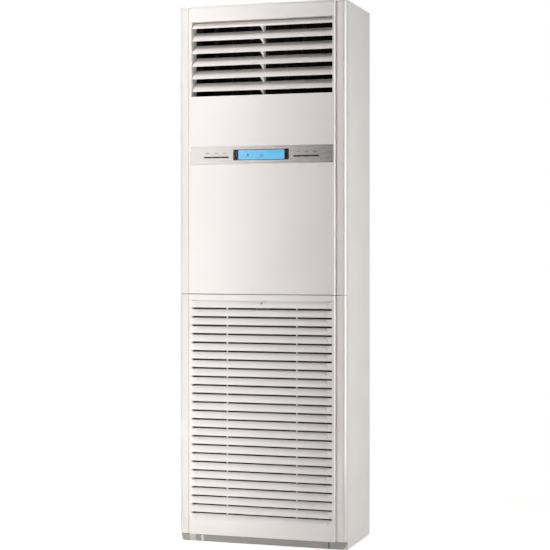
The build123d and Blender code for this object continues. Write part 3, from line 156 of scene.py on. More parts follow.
def brushedMetal(name, look):
    material, tree, shader, place = startMaterial(
        name, {"Metallic": 1.0, "Anisotropic": look["anisotropic"]}, look["stretch"])
    streak = addNode(tree, "ShaderNodeTexNoise", {"Scale": 1000 / look["streakMm"], "Detail": 3.0},
                     {"Vector": place}).outputs["Fac"]
    colour = addNode(tree, "ShaderNodeValToRGB", links={"Fac": streak}, tones=look["tones"])
    driveShader(tree, shader, look, colour.outputs["Color"], streak, streak)
    return material


# Galvanised steel, hot dipped: dull grey zinc broken into pale spangles
zincLook = {"tones": {0.0: "#8D9092", 1.0: "#B4B7B8"}, "roughness": (0.38, 0.55), "spangleMm": 9.0,
            "dentMm": 3.0, "depthMm": 0.02, "relief": 0.3}


def galvanised(name, look):
    material, tree, shader, place = startMaterial(name, {"Metallic": 1.0})
    cells = addNode(tree, "ShaderNodeTexVoronoi", {"Scale": 1000 / look["spangleMm"]}, {"Vector": place})
    tone = addNode(tree, "ShaderNodeSeparateColor", links={"Color": cells.outputs["Color"]}).outputs["Red"]
    dents = addNode(tree, "ShaderNodeTexNoise", {"Scale": 1000 / look["dentMm"]}, {"Vector": place})
    colour = addNode(tree, "ShaderNodeValToRGB", links={"Fac": tone}, tones=look["tones"])
    driveShader(tree, shader, look, colour.outputs["Color"], tone, dents.outputs["Fac"])
    return material


# Plain moulded plastics, rubber, foam and ink share this: a colour that drifts a little, and a skin texture
plasticSkin = {"relief": 0.5}


def mouldedPlastic(name, look):
    material, tree, shader, place = startMaterial(name, {"IOR": look["ior"]})
    skin = addNode(tree, "ShaderNodeTexNoise", {"Scale": 1000 / look["skinMm"], "Detail": 3.0},
                   {"Vector": place}).outputs["Fac"]
    colour = addNode(tree, "ShaderNodeValToRGB", links={"Fac": skin}, tones=look["tones"])
    driveShader(tree, shader, {**plasticSkin, **look}, colour.outputs["Color"], skin, skin)
    return material


# Bare metals that were turned, drawn or plated: metallic, with fine tool lines or a little stain
toolLines = {"depthMm": 0.01, "relief": 0.3, "stretch": (1, 1, 1)}


def workedMetal(name, look):
    look = {**toolLines, **look}
    material, tree, shader, place = startMaterial(name, {"Metallic": 1.0}, look["stretch"])
    grain = addNode(tree, "ShaderNodeTexNoise", {"Scale": 1000 / look["grainMm"], "Detail": 4.0},
                    {"Vector": place}).outputs["Fac"]
    colour = addNode(tree, "ShaderNodeValToRGB", links={"Fac": grain}, tones=look["tones"])
    driveShader(tree, shader, look, colour.outputs["Color"], grain, grain)
    return material


# Clear polycarbonate, polished and lens coated: the coat takes most of the reflection off, so the IOR is low
windowLook = {"tint": "#F4F8FA", "ior": 1.2, "roughness": (0.01, 0.05), "smearMm": 25.0}


def clearWindow(name, look):
    material, tree, shader, place = startMaterial(
        name, {"Base Color": linearColour(look["tint"]), "IOR": look["ior"], "Transmission Weight": 1.0})
    smear = addNode(tree, "ShaderNodeTexNoise", {"Scale": 1000 / look["smearMm"]}, {"Vector": place})
    smooth, rough = look["roughness"]
    spread = addNode(tree, "ShaderNodeMapRange", {"To Min": smooth, "To Max": rough},
                     {"Value": smear.outputs["Fac"]})
    tree.links.new(spread.outputs["Result"], shader.inputs["Roughness"])
    return material


# Backlit LCD glass: an even sky blue light with a faint pixel grid, whose dimmer squares give dimShare of it
screenLook = {"tones": {0.35: "#55B7E3", 0.65: "#68BFE9"}, "glass": "#123648", "roughness": 0.35,
              "glowMm": 45.0, "pixelMm": 1.6, "strength": 0.92, "dimShare": 0.97}


def litScreen(name, look):
    material, tree, shader, place = startMaterial(
        name, {"Base Color": linearColour(look["glass"]), "Roughness": look["roughness"]})
    glow = addNode(tree, "ShaderNodeTexNoise", {"Scale": 1000 / look["glowMm"], "Detail": 0.0},
                   {"Vector": place})
    colour = addNode(tree, "ShaderNodeValToRGB", links={"Fac": glow.outputs["Fac"]}, tones=look["tones"])
    grid = addNode(tree, "ShaderNodeTexChecker", {"Scale": 1000 / look["pixelMm"]}, {"Vector": place})
    strength = addNode(tree, "ShaderNodeMapRange",
                       {"To Min": look["strength"] * look["dimShare"], "To Max": look["strength"]},
                       {"Value": grid.outputs["Fac"]})
    tree.links.new(colour.outputs["Color"], shader.inputs["Emission Color"])
    tree.links.new(strength.outputs["Result"], shader.inputs["Emission Strength"])
    return material


wavePitch = math.pi / 10  # metres from ridge to ridge of a wave texture at scale 1

# Woven polypropylene net: brown-black strands over and under, drawn coarser than real so that they show, with
# painted shade in the holes between them
netLook = {"tones": {0.45: "#17120F", 0.85: "#3A312B"}, "ior": 1.49, "sheen": 0.1, "roughness": (0.55, 0.7),
           "dustMm": 4.0, "threadMm": 2.4, "depthMm": 0.25, "relief": 0.8}


def wovenNet(name, look):
    material, tree, shader, place = startMaterial(name, {"IOR": look["ior"], "Sheen Weight": look["sheen"]})
    scale = wavePitch * 1000 / look["threadMm"]
    across, down = (addNode(tree, "ShaderNodeTexWave", {"bands_direction": direction, "Scale": scale},
                            {"Vector": place}).outputs["Fac"] for direction in "XZ")
    strandAndHoleShade = addNode(tree, "ShaderNodeMath", {"operation": "MAXIMUM"}, {0: across, 1: down}).outputs[0]
    dust = addNode(tree, "ShaderNodeTexNoise", {"Scale": 1000 / look["dustMm"]}, {"Vector": place})
    # the near-black tone between the strands is painted shade, standing in for the dark seen through the
    # net's holes
    colour = addNode(tree, "ShaderNodeValToRGB", links={"Fac": strandAndHoleShade}, tones=look["tones"])
    driveShader(tree, shader, look, colour.outputs["Color"], dust.outputs["Fac"], strandAndHoleShade)
    return material


# Rolled aluminium fins, pressed on the tubes: bright edges in the fins' own metal, with painted shade for the
# dark gaps between
finLook = {"tones": {0.2: "#4C4E50", 0.6: "#D3D6D8"}, "roughness": (0.3, 0.42), "stainMm": 12.0,
           "pitchMm": 1.6, "depthMm": 0.6, "relief": 0.7}


def finStack(name, look):
    material, tree, shader, place = startMaterial(name, {"Metallic": 1.0})
    ridge = addNode(tree, "ShaderNodeTexWave",
                    {"bands_direction": "X", "Scale": wavePitch * 1000 / look["pitchMm"]},
                    {"Vector": place}).outputs["Fac"]
    stain = addNode(tree, "ShaderNodeTexNoise", {"Scale": 1000 / look["stainMm"]}, {"Vector": place})
    # the wave's dark tone is painted shade in the gaps between the fins, its bright tone the fin edges
    colour = addNode(tree, "ShaderNodeValToRGB", links={"Fac": ridge}, tones=look["tones"])
    driveShader(tree, shader, look, colour.outputs["Color"], stain.outputs["Fac"], ridge)
    return material


# Glass-fibre circuit board, etched and lacquered: two greens in blocks of fieldMm, with dark tracks between
boardLook = {"field": "#1E5A36", "paleField": "#246B41", "track": "#123F25", "fieldMm": 25 / 3,
             "trackMm": 2 / 3, "ior": 1.55, "coat": 0.3, "roughness": (0.3, 0.5), "fluxMm": 4.0,
             "depthMm": 0.04, "relief": 0.4}


def circuitBoard(name, look):
    material, tree, shader, place = startMaterial(name, {"IOR": look["ior"], "Coat Weight": look["coat"]})
    scale = 1000 / look["fieldMm"] / 2  # the texture's bricks are half a unit wide
    tracks = addNode(tree, "ShaderNodeTexBrick",
                     {"Scale": scale, "Mortar Size": look["trackMm"] / 1000 * scale / 2,
                      "Color1": linearColour(look["field"]), "Color2": linearColour(look["paleField"]),
                      "Mortar": linearColour(look["track"])}, {"Vector": place})
    flux = addNode(tree, "ShaderNodeTexNoise", {"Scale": 1000 / look["fluxMm"]}, {"Vector": place})
    driveShader(tree, shader, look, tracks.outputs["Color"], flux.outputs["Fac"], tracks.outputs["Fac"])
    return material


slotMaterials = {
    "panel_plastic": glossAbs("gloss_abs_injection_moulded", panelLook),
    "painted_sheet": powderCoat("powder_coated_steel", sheetLook),
    "display_band": brushedMetal("brushed_anodised_aluminium", bandLook),
    "display_glass": clearWindow("polished_polycarbonate", windowLook),
    "board": circuitBoard("etched_circuit_board", boardLook),
    # satin black ABS, moulded: dark keys that still catch a thin light
    "key_cap": mouldedPlastic("satin_abs_moulded_dark", {
        "tones": {0.3: "#1A1918", 0.7: "#242322"}, "ior": 1.46, "roughness": (0.44, 0.52), "skinMm": 1.5,
        "depthMm": 0.02, "edgeMm": 0.4}),
    "base_grey": powderCoat("powder_coated_steel_grey", kickLook),
    "base_steel": galvanised("galvanised_steel_dipped", zincLook),
    # black polypropylene, moulded: matt, so the duct behind the louvres stays dark
    "dark_plastic": mouldedPlastic("black_polypropylene_moulded", {
        "tones": {0.3: "#0E0D0C", 0.7: "#171614"}, "ior": 1.49, "roughness": (0.56, 0.64), "skinMm": 2.0,
        "depthMm": 0.03}),
    # white ABS, moulded with a spark-eroded skin: a duller white with a fine even grain
    "white_plastic": mouldedPlastic("white_abs_spark_textured", {
        "tones": {0.3: "#E8E5E1", 0.7: "#ECE9E5"}, "ior": 1.54, "roughness": (0.34, 0.42), "skinMm": 1.4,
        "depthMm": 0.02, "edgeMm": 0.6}),
    # zinc die casting, chrome plated then rubbed: a soft silver
    "lock_metal": workedMetal("satin_chromed_zinc", {
        "tones": {0.3: "#9D9B98", 0.7: "#BEBCB8"}, "roughness": (0.22, 0.34), "grainMm": 1.0}),
    "filter_net": wovenNet("woven_polypropylene_net_and_hole_shade", netLook),
    # galvanised sheet, pressed: the same zinc with larger spangles
    "galvanised": galvanised("galvanised_sheet_pressed", {**zincLook, "spangleMm": 14.0}),
    # glass-filled polypropylene, moulded: dark grey, with a slightly rough skin
    "wheel_plastic": mouldedPlastic("glass_filled_polypropylene", {
        "tones": {0.3: "#2B2C2D", 0.7: "#37393A"}, "ior": 1.5, "roughness": (0.46, 0.54), "skinMm": 1.6,
        "depthMm": 0.04}),
    "motor_steel": powderCoat("enamelled_motor_shell", motorLook),
    # steel, turned: mid grey with fine tool lines
    "shaft_steel": workedMetal("turned_steel", {
        "tones": {0.3: "#8A8C8E", 0.7: "#A9ABAD"}, "roughness": (0.19, 0.31), "grainMm": 0.8,
        "stretch": (1, 12, 1)}),
    "fin_aluminium": finStack("rolled_aluminium_fins_and_gap_shade", finLook),
    # copper tube, drawn: warm red-brown with long faint stains
    "pipe_copper": workedMetal("drawn_copper", {
        "tones": {0.3: "#A65A3A", 0.7: "#C57F58"}, "roughness": (0.24, 0.36), "grainMm": 6.0,
        "stretch": (1, 1, 6)}),
    # brass, turned: a clear yellow metal
    "nut_brass": workedMetal("turned_brass", {
        "tones": {0.3: "#A88A4A", 0.7: "#C7A964"}, "roughness": (0.22, 0.34), "grainMm": 1.0}),
    # natural rubber, compression moulded: flat black
    "grommet_rubber": mouldedPlastic("black_rubber_moulded", {
        "tones": {0.3: "#121212", 0.7: "#1C1C1C"}, "ior": 1.52, "roughness": (0.66, 0.74), "skinMm": 1.0,
        "depthMm": 0.05}),
    # steel screws, zinc plated: pale grey with a quiet shine
    "screw_steel": workedMetal("zinc_plated_steel", {
        "tones": {0.3: "#A5A6A2", 0.7: "#C4C5C0"}, "roughness": (0.24, 0.36), "grainMm": 0.9}),
    # closed-cell polyethylene foam, cut from sheet: black, with open cells at the cut
    "foam": mouldedPlastic("cut_polyethylene_foam", {
        "tones": {0.3: "#141414", 0.7: "#1E1E1E"}, "ior": 1.45, "roughness": (0.86, 0.94), "skinMm": 2.5,
        "depthMm": 0.4}),
}
for part in frame["record"]["subparts"]:
    mesh = nodes[part["node"]].data
    mesh.materials.clear()
    mesh.materials.append(slotMaterials[part["material_slot"]])
print("materials assigned:", len(slotMaterials))


# Pieces made here. Outlines are lists of (x, z) in millimetres, seen from the front

def addPiece(name, bm, material, body, smooth=False):
    mesh = bpy.data.meshes.new(name)
    bmesh.ops.recalc_face_normals(bm, faces=bm.faces)
    bm.to_mesh(mesh)
    bm.free()
    if smooth:
        mesh.shade_smooth()
    mesh.materials.append(material)
    piece = bpy.data.objects.new(name, mesh)
    bpy.context.scene.collection.objects.link(piece)
    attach(piece, body)
    return piece


def slab(bm, outline, yFront, yBack):
    # a closed plate between two depths; gives its front face back
    front = [bm.verts.new(mm(x, yFront, z)) for x, z in outline]
    back = [bm.verts.new(mm(x, yBack, z)) for x, z in outline]
    frontFace = bm.faces.new(front)
    bm.faces.new(back[::-1])
    for i in range(len(outline)):
        j = (i + 1) % len(outline)
        bm.faces.new((front[i], back[i], back[j], front[j]))
    return frontFace


def rectangle(left, low, right, high):
    return [(left, low), (right, low), (right, high), (left, high)]


arcSteps = {"corner": 5, "strokeEnd": 6, "ring": 18}  # points along each kind of arc


def arcPoints(x, z, radius, start, end, count):
    turns = [math.radians(start + (end - start) * i / (count - 1)) for i in range(count)]
    return [(x + radius * math.cos(t), z + radius * math.sin(t)) for t in turns]


def bar(x0, z0, x1, z1, width):
    # a stroke with rounded ends
    turn = math.degrees(math.atan2(z1 - z0, x1 - x0))
    return (arcPoints(x0, z0, width / 2, turn + 90, turn + 270, arcSteps["strokeEnd"])
            + arcPoints(x1, z1, width / 2, turn - 90, turn + 90, arcSteps["strokeEnd"]))


def ringStroke(x, z, radius, width, start, end):
    return (arcPoints(x, z, radius + width / 2, start, end, arcSteps["ring"])
            + arcPoints(x, z, radius - width / 2, end, start, arcSteps["ring"]))


# Screen behind the window. The symbols lie on it between the two depths of symbolY
screen = {"width": 166.0, "bottom": 1318.2, "top": 1350.6, "corner": 1.5, "front": -157.08, "back": -156.92,
          "symbolY": (-157.14, -157.09)}


def buildScreen():
    half = screen["width"] / 2
    corner = screen["corner"]
    outline = []
    for x, z, start in ((half, screen["top"], 0), (-half, screen["top"], 90),
                        (-half, screen["bottom"], 180), (half, screen["bottom"], 270)):
        inX = x - math.copysign(corner, x)
        inZ = z - corner if z == screen["top"] else z + corner
        outline += arcPoints(inX, inZ, corner, start, start + 90, arcSteps["corner"])
    bm = bmesh.new()
    slab(bm, outline, screen["front"], screen["back"])
    addPiece("screen_picture", bm, litScreen("backlit_lcd_glass", screenLook), "cabinet")


buildScreen()

# A plain snow crystal: arms with a pair of branches each, whose place and length are shares of the arm
snow = {"middle": (-49.0, 1333.0), "arms": 6, "firstTurn": 30, "length": 6.4, "width": 1.5,
        "branchAt": 0.5, "branchTurn": 55, "branchLength": 0.35, "branchWidth": 1.2}
# Liquid crystal segments, printed: a deeper blue that the light still shows through
snowInk = {**screenLook, "tones": {0.35: "#1F6FA6", 0.65: "#2A79AE"}}


def buildSnow():
    bm = bmesh.new()
    x, z = snow["middle"]
    for i in range(snow["arms"]):
        turn = math.radians(360 / snow["arms"] * i + snow["firstTurn"])
        reachX, reachZ = snow["length"] * math.cos(turn), snow["length"] * math.sin(turn)
        slab(bm, bar(x, z, x + reachX, z + reachZ, snow["width"]), *screen["symbolY"])
        rootX, rootZ = x + snow["branchAt"] * reachX, z + snow["branchAt"] * reachZ
        length = snow["branchLength"] * snow["length"]
        for side in (-1, 1):
            branch = turn + side * math.radians(snow["branchTurn"])
            slab(bm, bar(rootX, rootZ, rootX + length * math.cos(branch), rootZ + length * math.sin(branch),
                         snow["branchWidth"]), *screen["symbolY"])
    addPiece("screen_snow", bm, litScreen("lcd_segments_dark", snowInk), "cabinet")


buildSnow()

# A plain roof over a room. Both outlines are shares of the size, about the middle
roof = {"middle": (1.0, 1333.5), "size": 9.5,
        "roof": [(-1, -0.1), (0, 0.9), (1, -0.1), (0.72, -0.1), (0, 0.6), (-0.72, -0.1)],
        "room": [(-0.62, -0.95), (0.62, -0.95), (0.62, -0.2), (0, 0.4), (-0.62, -0.2)]}
# The same segments in a paler blue
roofInk = {**screenLook, "tones": {0.35: "#3E97C4", 0.65: "#489FCA"}}


def buildRoof():
    bm = bmesh.new()
    middleX, middleZ = roof["middle"]
    for shares in (roof["roof"], roof["room"]):
        outline = [(middleX + roof["size"] * x, middleZ + roof["size"] * z) for x, z in shares]
        slab(bm, outline, *screen["symbolY"])
    addPiece("screen_roof", bm, litScreen("lcd_segments_pale", roofInk), "cabinet")


buildRoof()

# Marks printed above the keys: a plain symbol and a dash for each
marks = {"z": 1341.0, "front": -161.76, "back": -161.69,
         "middles": (-192.4, -162.0, -131.6, 130.6, 161.0, 191.4),
         "dash": (0.8, 5.6), "dashWidth": 1.8, "symbolShift": -3.4, "size": 2.0, "stroke": 1.1,
         "power": {"ring": (125, 415), "foot": 0.4, "tip": 2.8},
         "fan": {"turns": (90, 210, 330), "root": 0.7, "width": 1.65},
         "timer": {"ring": (0, 359), "width": 0.77, "hands": ((0.0, 1.2), (1.0, 0.0))},
         "sweep": {"shifts": (-1.3, 1.3), "lean": 1.2, "rise": 1.6}}
# Screen-printed ink: flat grey, a touch raised
markInk = {"tones": {0.3: "#4A4745", 0.7: "#5A5755"}, "ior": 1.4, "roughness": (0.56, 0.64), "skinMm": 0.8,
           "depthMm": 0.01}


def buildMarks():
    bm = bmesh.new()
    size, stroke, z = marks["size"], marks["stroke"], marks["z"]
    power, fan, timer, sweep = (marks[key] for key in ("power", "fan", "timer", "sweep"))

    def ink(outline):
        slab(bm, outline, marks["front"], marks["back"])

    for middle in marks["middles"]:
        ink(bar(middle + marks["dash"][0], z, middle + marks["dash"][1], z, marks["dashWidth"]))
    powerX, fanX, timerX, downX, upX, sweepX = [middle + marks["symbolShift"] for middle in marks["middles"]]
    # power: open ring and stroke
    ink(ringStroke(powerX, z, size, stroke, *power["ring"]))
    ink(bar(powerX, z + power["foot"], powerX, z + power["tip"], stroke))
    # fan: three blades
    for turn in fan["turns"]:
        t = math.radians(turn)
        ink(bar(fanX + fan["root"] * math.cos(t), z + fan["root"] * math.sin(t),
                fanX + size * math.cos(t), z + size * math.sin(t), fan["width"]))
    # timer: ring with two hands
    ink(ringStroke(timerX, z, size, timer["width"], *timer["ring"]))
    for handX, handZ in timer["hands"]:
        ink(bar(timerX, z, timerX + handX, z + handZ, timer["width"]))
    # down and up: a minus and a plus
    ink(bar(downX - size, z, downX + size, z, stroke))
    ink(bar(upX - size, z, upX + size, z, stroke))
    ink(bar(upX, z - size, upX, z + size, stroke))
    # sweep: two slanting strokes
    for shift in sweep["shifts"]:
        x = sweepX + shift
        ink(bar(x - sweep["lean"], z - sweep["rise"], x + sweep["lean"], z + sweep["rise"], stroke))
    addPiece("key_marks", bm, mouldedPlastic("screen_printed_ink", markInk), "cabinet")


buildMarks()

# Black surround printed on the back of the window, outside the screen: it hides the board behind
surround = {"outerX": 99.2, "innerX": 82.6, "bottom": 1316.2, "top": 1352.3, "line": 1.7,
            "front": -157.16, "back": -157.1}
# Printing ink seen through the window: an even black without a shine of its own
surroundInk = {"tones": {0.3: "#0B0B0C", 0.7: "#141415"}, "ior": 1.2, "roughness": (0.56, 0.64),
               "skinMm": 3.0, "depthMm": 0.005}


def buildSurround():
    bm = bmesh.new()
    outer, inner, low, high = (surround[key] for key in ("outerX", "innerX", "bottom", "top"))
    strips = [(-outer, low, -inner, high), (inner, low, outer, high),
              (-inner, high - surround["line"], inner, high),
              (-inner, low, inner, low + surround["line"])]
    for strip in strips:
        slab(bm, rectangle(*strip), surround["front"], surround["back"])
    ink = mouldedPlastic("window_back_print", surroundInk)
    addPiece("window_surround", bm, ink, "cabinet")


buildSurround()
print("display built")

rimSteps = 2  # facets that round a rim


def plate(shape):
    # a moulded plate whose front edges are rounded by its rim
    bm = bmesh.new()
    left, right = shape["middle"] - shape["width"] / 2, shape["middle"] + shape["width"] / 2
    face = slab(bm, rectangle(left, shape["low"], right, shape["high"]), shape["front"], shape["back"])
    bmesh.ops.bevel(bm, geom=list(face.edges), offset=shape["rim"] / 1000, segments=rimSteps, affect="EDGES")
    return bm


# Fittings of the kick strip. A white clip in its slot
clip = {"middle": -220.0, "width": 9.4, "low": 0.6, "high": 21.6, "front": -142.9, "back": -140.1,
        "rim": 0.5}
addPiece("kick_clip", plate(clip), slotMaterials["white_plastic"], "cabinet")

# A pale cover in its recess, of grey ABS, moulded: a little lighter than the painted strip
cover = {"middle": -255.0, "width": 22.4, "low": 0.6, "high": 24.6, "front": -142.95, "back": -141.85,
         "rim": 0.5}
coverAbs = {"tones": {0.3: "#CBC6C2", 0.7: "#D3CECA"}, "ior": 1.54, "roughness": (0.38, 0.46), "skinMm": 1.4,
            "depthMm": 0.02}
addPiece("kick_cover", plate(cover), mouldedPlastic("pale_grey_abs_moulded", coverAbs), "cabinet")

# A dark strip in the joint, of soft PVC, extruded: a darker grey line, painted shade that stands in for the
# shadow of the recessed joint
joint = {"middle": 235.0, "width": 5.4, "low": 0.6, "high": 24.6, "front": -142.4, "back": -141.85,
         "rim": 0.15}
jointShadePvc = {"tones": {0.3: "#6A6663", 0.7: "#76726E"}, "ior": 1.53, "roughness": (0.51, 0.59), "skinMm": 1.0,
            "depthMm": 0.02}
addPiece("kick_joint_shade_strip", plate(joint), mouldedPlastic("grey_painted_joint_shade", jointShadePvc), "cabinet")
print("kick fittings built")

# Pan head screws with a cross recess, in place of the plain CAD ones. Shank and head are (radius, height),
# over the tip and over the seat; the crown's rings are shares of the head's radius
screws = {"x": 292.5, "low": 87.0, "high": 1784.3, "count": 6, "tipY": 155.0, "seatY": 161.0, "steps": 32,
          "shank": [(0.0, 0.0), (1.1, 0.0), (2.0, 1.2)], "shankRadius": 2.0,
          "head": [(4.0, 0.0), (4.0, 0.5), (3.76, 0.85), (3.2, 1.15)], "headRadius": 4.0,
          "crown": 1.45, "crownDrop": 0.3, "crownRings": (0.65, 0.5, 0.36, 0.22, 0.1),
          "recess": 2.3, "recessWidth": 0.8, "recessDepth": 0.9, "recessFrom": 1.0,
          "twistStep": 17.0, "twistRight": 40.0}


def screwProfile():
    # (radius, y) from the tip of the shank to the middle of the crown
    seat, crown = screws["seatY"], screws["seatY"] + screws["crown"]
    profile = [(radius, screws["tipY"] + rise) for radius, rise in screws["shank"]]
    profile.append((screws["shankRadius"], seat))
    profile += [(radius, seat + rise) for radius, rise in screws["head"]]
    profile += [(screws["headRadius"] * r, crown - screws["crownDrop"] * r * r) for r in screws["crownRings"]]
    return profile + [(0.0, crown)]


def screwRing(x, z, radius, y, twist):
    # one turn of points, sunk where the cross recess passes; a single point on the axis
    if radius == 0.0:
        return [mm(x, y, z)]
    ring = []
    for k in range(screws["steps"]):
        t = 2 * math.pi * k / screws["steps"]
        u, v = radius * math.cos(t), radius * math.sin(t)
        offsets = sorted((abs(u * math.cos(twist) + v * math.sin(twist)),
                          abs(v * math.cos(twist) - u * math.sin(twist))))
        inCross = offsets[0] < screws["recessWidth"] and offsets[1] < screws["recess"]
        onCrown = y > screws["seatY"] + screws["recessFrom"]
        sink = screws["recessDepth"] * (1 - radius / screws["recess"]) if inCross and onCrown else 0.0
        ring.append(mm(x + u, y - sink, z + v))
    return ring


def joinRings(bm, a, b):
    # faces between two turns of points, either of which may be a single one
    count = max(len(a), len(b))
    for k in range(count):
        n = (k + 1) % count
        if len(a) == 1:
            bm.faces.new((a[0], b[k], b[n]))
        elif len(b) == 1:
            bm.faces.new((a[k], b[0], a[n]))
        else:
            bm.faces.new((a[k], b[k], b[n], a[n]))


def buildScrews():
    bm = bmesh.new()
    pitch = (screws["high"] - screws["low"]) / (screws["count"] - 1)
    for x in (-screws["x"], screws["x"]):
        for i in range(screws["count"]):
            twist = math.radians(screws["twistStep"] * i + (screws["twistRight"] if x > 0 else 0.0))
            z = screws["low"] + pitch * i
            rings = [[bm.verts.new(point) for point in screwRing(x, z, radius, y, twist)]
                     for radius, y in screwProfile()]
            for a, b in zip(rings, rings[1:]):
                joinRings(bm, a, b)
    piece = addPiece("rear_screws", bm, slotMaterials["screw_steel"], "cabinet", smooth=True)
    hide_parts("cabinet_screws")


buildScrews()
print("screws built")


# Camera at the photograph's viewing angle, level, and turned about Z
view = {"place": (1.6067, -5.014, 1.0092), "tilt": 90.0, "turn": 17.784, "lens": 98.155, "sensor": 36.0,
        "shiftY": -0.0458}


def buildCamera():
    camera = bpy.data.objects.new("camera", bpy.data.cameras.new("camera"))
    camera.location = view["place"]
    camera.rotation_euler = (math.radians(view["tilt"]), 0, math.radians(view["turn"]))
    camera.data.lens = view["lens"]
    camera.data.sensor_width = view["sensor"]
    camera.data.shift_y = view["shiftY"]
    bpy.context.scene.collection.objects.link(camera)
    bpy.context.scene.camera = camera


buildCamera()

# Studio: a tall soft lamp near the left of the front with a small one by the floor, one above, one on the
# right, and one behind that opens up the back and the left side. inGloss is off for those that are too near
# to show in the gloss as themselves
lamps = {
    "lampLeft": {"place": (-0.35, -0.75, 1.0), "aim": (-0.2, -0.16, 1.0), "size": (0.25, 2.0),
                 "power": 6.6, "inGloss": False},
    "lampLow": {"place": (-0.33, -0.74, 0.22), "aim": (-0.14, -0.16, 0.15), "size": (0.4, 0.35),
                "power": 0.45, "inGloss": False},
    "lampAbove": {"place": (-0.35, -0.74, 2.6), "aim": (0.0, -0.16, 1.5), "size": (0.6, 0.5),
                  "power": 8.2, "inGloss": True},
    "lampRight": {"place": (1.8, -0.6, 1.1), "aim": (0.3, 0.0, 1.0), "size": (0.24, 2.2),
                  "power": 20.5, "inGloss": True},
    "lampBack": {"place": (-0.9, 1.8, 2.6), "aim": (0.0, 0.16, 1.0), "size": (1.2, 1.8),
                 "power": 44.0, "inGloss": True},
}


def buildLamp(name, lamp):
    data = bpy.data.lights.new(name, "AREA")
    data.shape = "RECTANGLE"
    data.size, data.size_y = lamp["size"]
    data.energy = lamp["power"]
    light = bpy.data.objects.new(name, data)
    light.location = lamp["place"]
    light.rotation_euler = (Vector(lamp["aim"]) - Vector(lamp["place"])).to_track_quat("-Z", "Y").to_euler()
    light.visible_glossy = lamp["inGloss"]
    bpy.context.scene.collection.objects.link(light)


for lampName, lamp in lamps.items():
    buildLamp(lampName, lamp)

# The room gives a little warm fill, and is white where it is seen
room = {"fill": "#FFF8F4", "strength": 0.02}
whiteColour = linearColour("#FFFFFF")


def shownRays(tree):
    # 1 for camera, glossy and transmission rays, so metal and glass show what the camera sees
    path = addNode(tree, "ShaderNodeLightPath")
    shown = addNode(tree, "ShaderNodeMath", {"operation": "MAXIMUM"},
                    {0: path.outputs["Is Camera Ray"], 1: path.outputs["Is Glossy Ray"]})
    return addNode(tree, "ShaderNodeMath", {"operation": "MAXIMUM"},
                   {0: shown.outputs[0], 1: path.outputs["Is Transmission Ray"]}).outputs[0]


def buildRoom():
    world = bpy.data.worlds.new("room")
    world.use_nodes = True
    tree = world.node_tree
    tree.nodes.clear()
    fill = addNode(tree, "ShaderNodeBackground",
                   {"Color": linearColour(room["fill"]), "Strength": room["strength"]})
    seen = addNode(tree, "ShaderNodeBackground", {"Color": whiteColour, "Strength": 1.0})
    mix = addNode(tree, "ShaderNodeMixShader",
                  links={0: shownRays(tree), 1: fill.outputs[0], 2: seen.outputs[0]})
    addNode(tree, "ShaderNodeOutputWorld", links={"Surface": mix.outputs[0]})
    bpy.context.scene.world = world


buildRoom()


def stagePlane(name, corners, material):
    bm = bmesh.new()
    bm.faces.new([bm.verts.new(corner) for corner in corners])
    mesh = bpy.data.meshes.new(name)
    bm.to_mesh(mesh)
    bm.free()
    mesh.materials.append(material)
    plane = bpy.data.objects.new(name, mesh)
    bpy.context.scene.collection.objects.link(plane)
    return plane


# Floor: a matt white board that keeps the object's shadow near it and fades to white from near to far. Its
# lift is light of its own, which only the camera, reflections and glass see
floorLook = {"colour": "#F7F6F5", "lift": 0.54, "half": 20.0, "drop": 0.0005, "near": 0.6, "far": 1.6}


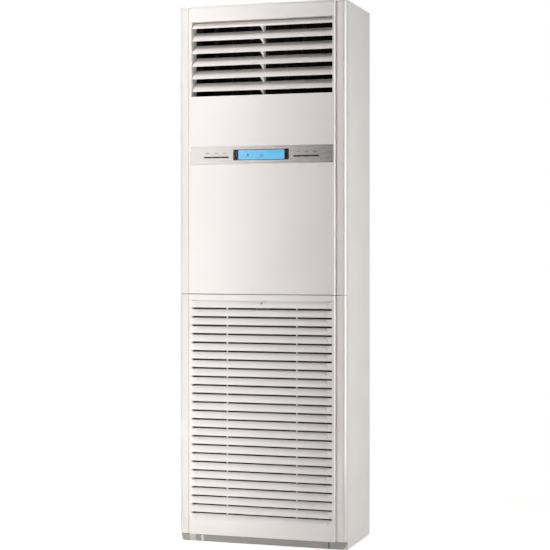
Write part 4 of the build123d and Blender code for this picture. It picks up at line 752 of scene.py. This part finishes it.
def whiteBoard(look):
    material, tree = emptyMaterial("matt_white_board")
    shown = shownRays(tree)
    place = addNode(tree, "ShaderNodeTexCoord").outputs["Object"]
    reach = addNode(tree, "ShaderNodeVectorMath", {"operation": "LENGTH"}, {0: place}).outputs["Value"]
    fade = addNode(tree, "ShaderNodeMapRange", {"interpolation_type": "SMOOTHSTEP", "From Min": look["near"],
                                                "From Max": look["far"]}, {"Value": reach}).outputs["Result"]
    fade = addNode(tree, "ShaderNodeMath", {"operation": "MULTIPLY"}, {0: fade, 1: shown}).outputs[0]
    lift = addNode(tree, "ShaderNodeMath", {"operation": "MULTIPLY", 1: look["lift"]}, {0: shown}).outputs[0]
    board = addNode(tree, "ShaderNodeBsdfDiffuse", {"Color": linearColour(look["colour"])})
    glow = addNode(tree, "ShaderNodeEmission", {"Color": whiteColour}, {"Strength": lift})
    lit = addNode(tree, "ShaderNodeAddShader", links={0: board.outputs[0], 1: glow.outputs[0]})
    ground = addNode(tree, "ShaderNodeEmission", {"Color": whiteColour, "Strength": 1.0})
    mix = addNode(tree, "ShaderNodeMixShader", links={0: fade, 1: lit.outputs[0], 2: ground.outputs[0]})
    addNode(tree, "ShaderNodeOutputMaterial", links={"Surface": mix.outputs[0]})
    return material


floorCorners = [(x * floorLook["half"], y * floorLook["half"], -floorLook["drop"])
                for x, y in ((-1, -1), (1, -1), (1, 1), (-1, 1))]
stagePlane("floor", floorCorners, whiteBoard(floorLook))


def reflectedCard(name, look, material):
    # an upright card from one plan point to another, which only reflections see
    low, high = look["bottom"], look["top"]
    corners = [(*look["left"], low), (*look["right"], low), (*look["right"], high), (*look["left"], high)]
    card = stagePlane(name, corners, material)
    card.visible_camera = False
    card.visible_diffuse = False
    card.visible_transmission = False
    card.visible_shadow = False


# Graded card in front: the brushed band goes from bright to dark along it, between the two x of the fade
gradedLook = {"left": (-1.3, -1.16), "right": (1.6, -1.16), "bottom": 0.2, "top": 2.6,
              "bright": 1.15, "dark": 0.05, "fadeFrom": -0.55, "fadeTo": 0.0}


def gradedCard(look):
    material, tree = emptyMaterial("graded_card")
    place = addNode(tree, "ShaderNodeTexCoord").outputs["Object"]
    x = addNode(tree, "ShaderNodeSeparateXYZ", links={"Vector": place}).outputs["X"]
    tone = addNode(tree, "ShaderNodeMapRange",
                   {"From Min": look["fadeFrom"], "From Max": look["fadeTo"],
                    "To Min": look["bright"], "To Max": look["dark"]}, {"Value": x})
    glow = addNode(tree, "ShaderNodeEmission", {"Color": whiteColour}, {"Strength": tone.outputs["Result"]})
    addNode(tree, "ShaderNodeOutputMaterial", links={"Surface": glow.outputs[0]})
    return material


reflectedCard("reflected_card", gradedLook, gradedCard(gradedLook))

# Bright card to the right: it draws the fine light along the rounded right edges
edgeLook = {"left": (0.95, -0.85), "right": (1.25, -0.12), "bottom": 0.1, "top": 2.1, "strength": 8.0}


def brightCard(look):
    material, tree = emptyMaterial("bright_card")
    glow = addNode(tree, "ShaderNodeEmission", {"Color": whiteColour, "Strength": look["strength"]})
    addNode(tree, "ShaderNodeOutputMaterial", links={"Surface": glow.outputs[0]})
    return material


reflectedCard("edge_card", edgeLook, brightCard(edgeLook))
bpy.context.scene.view_settings.view_transform = "Standard"
print("studio ready")
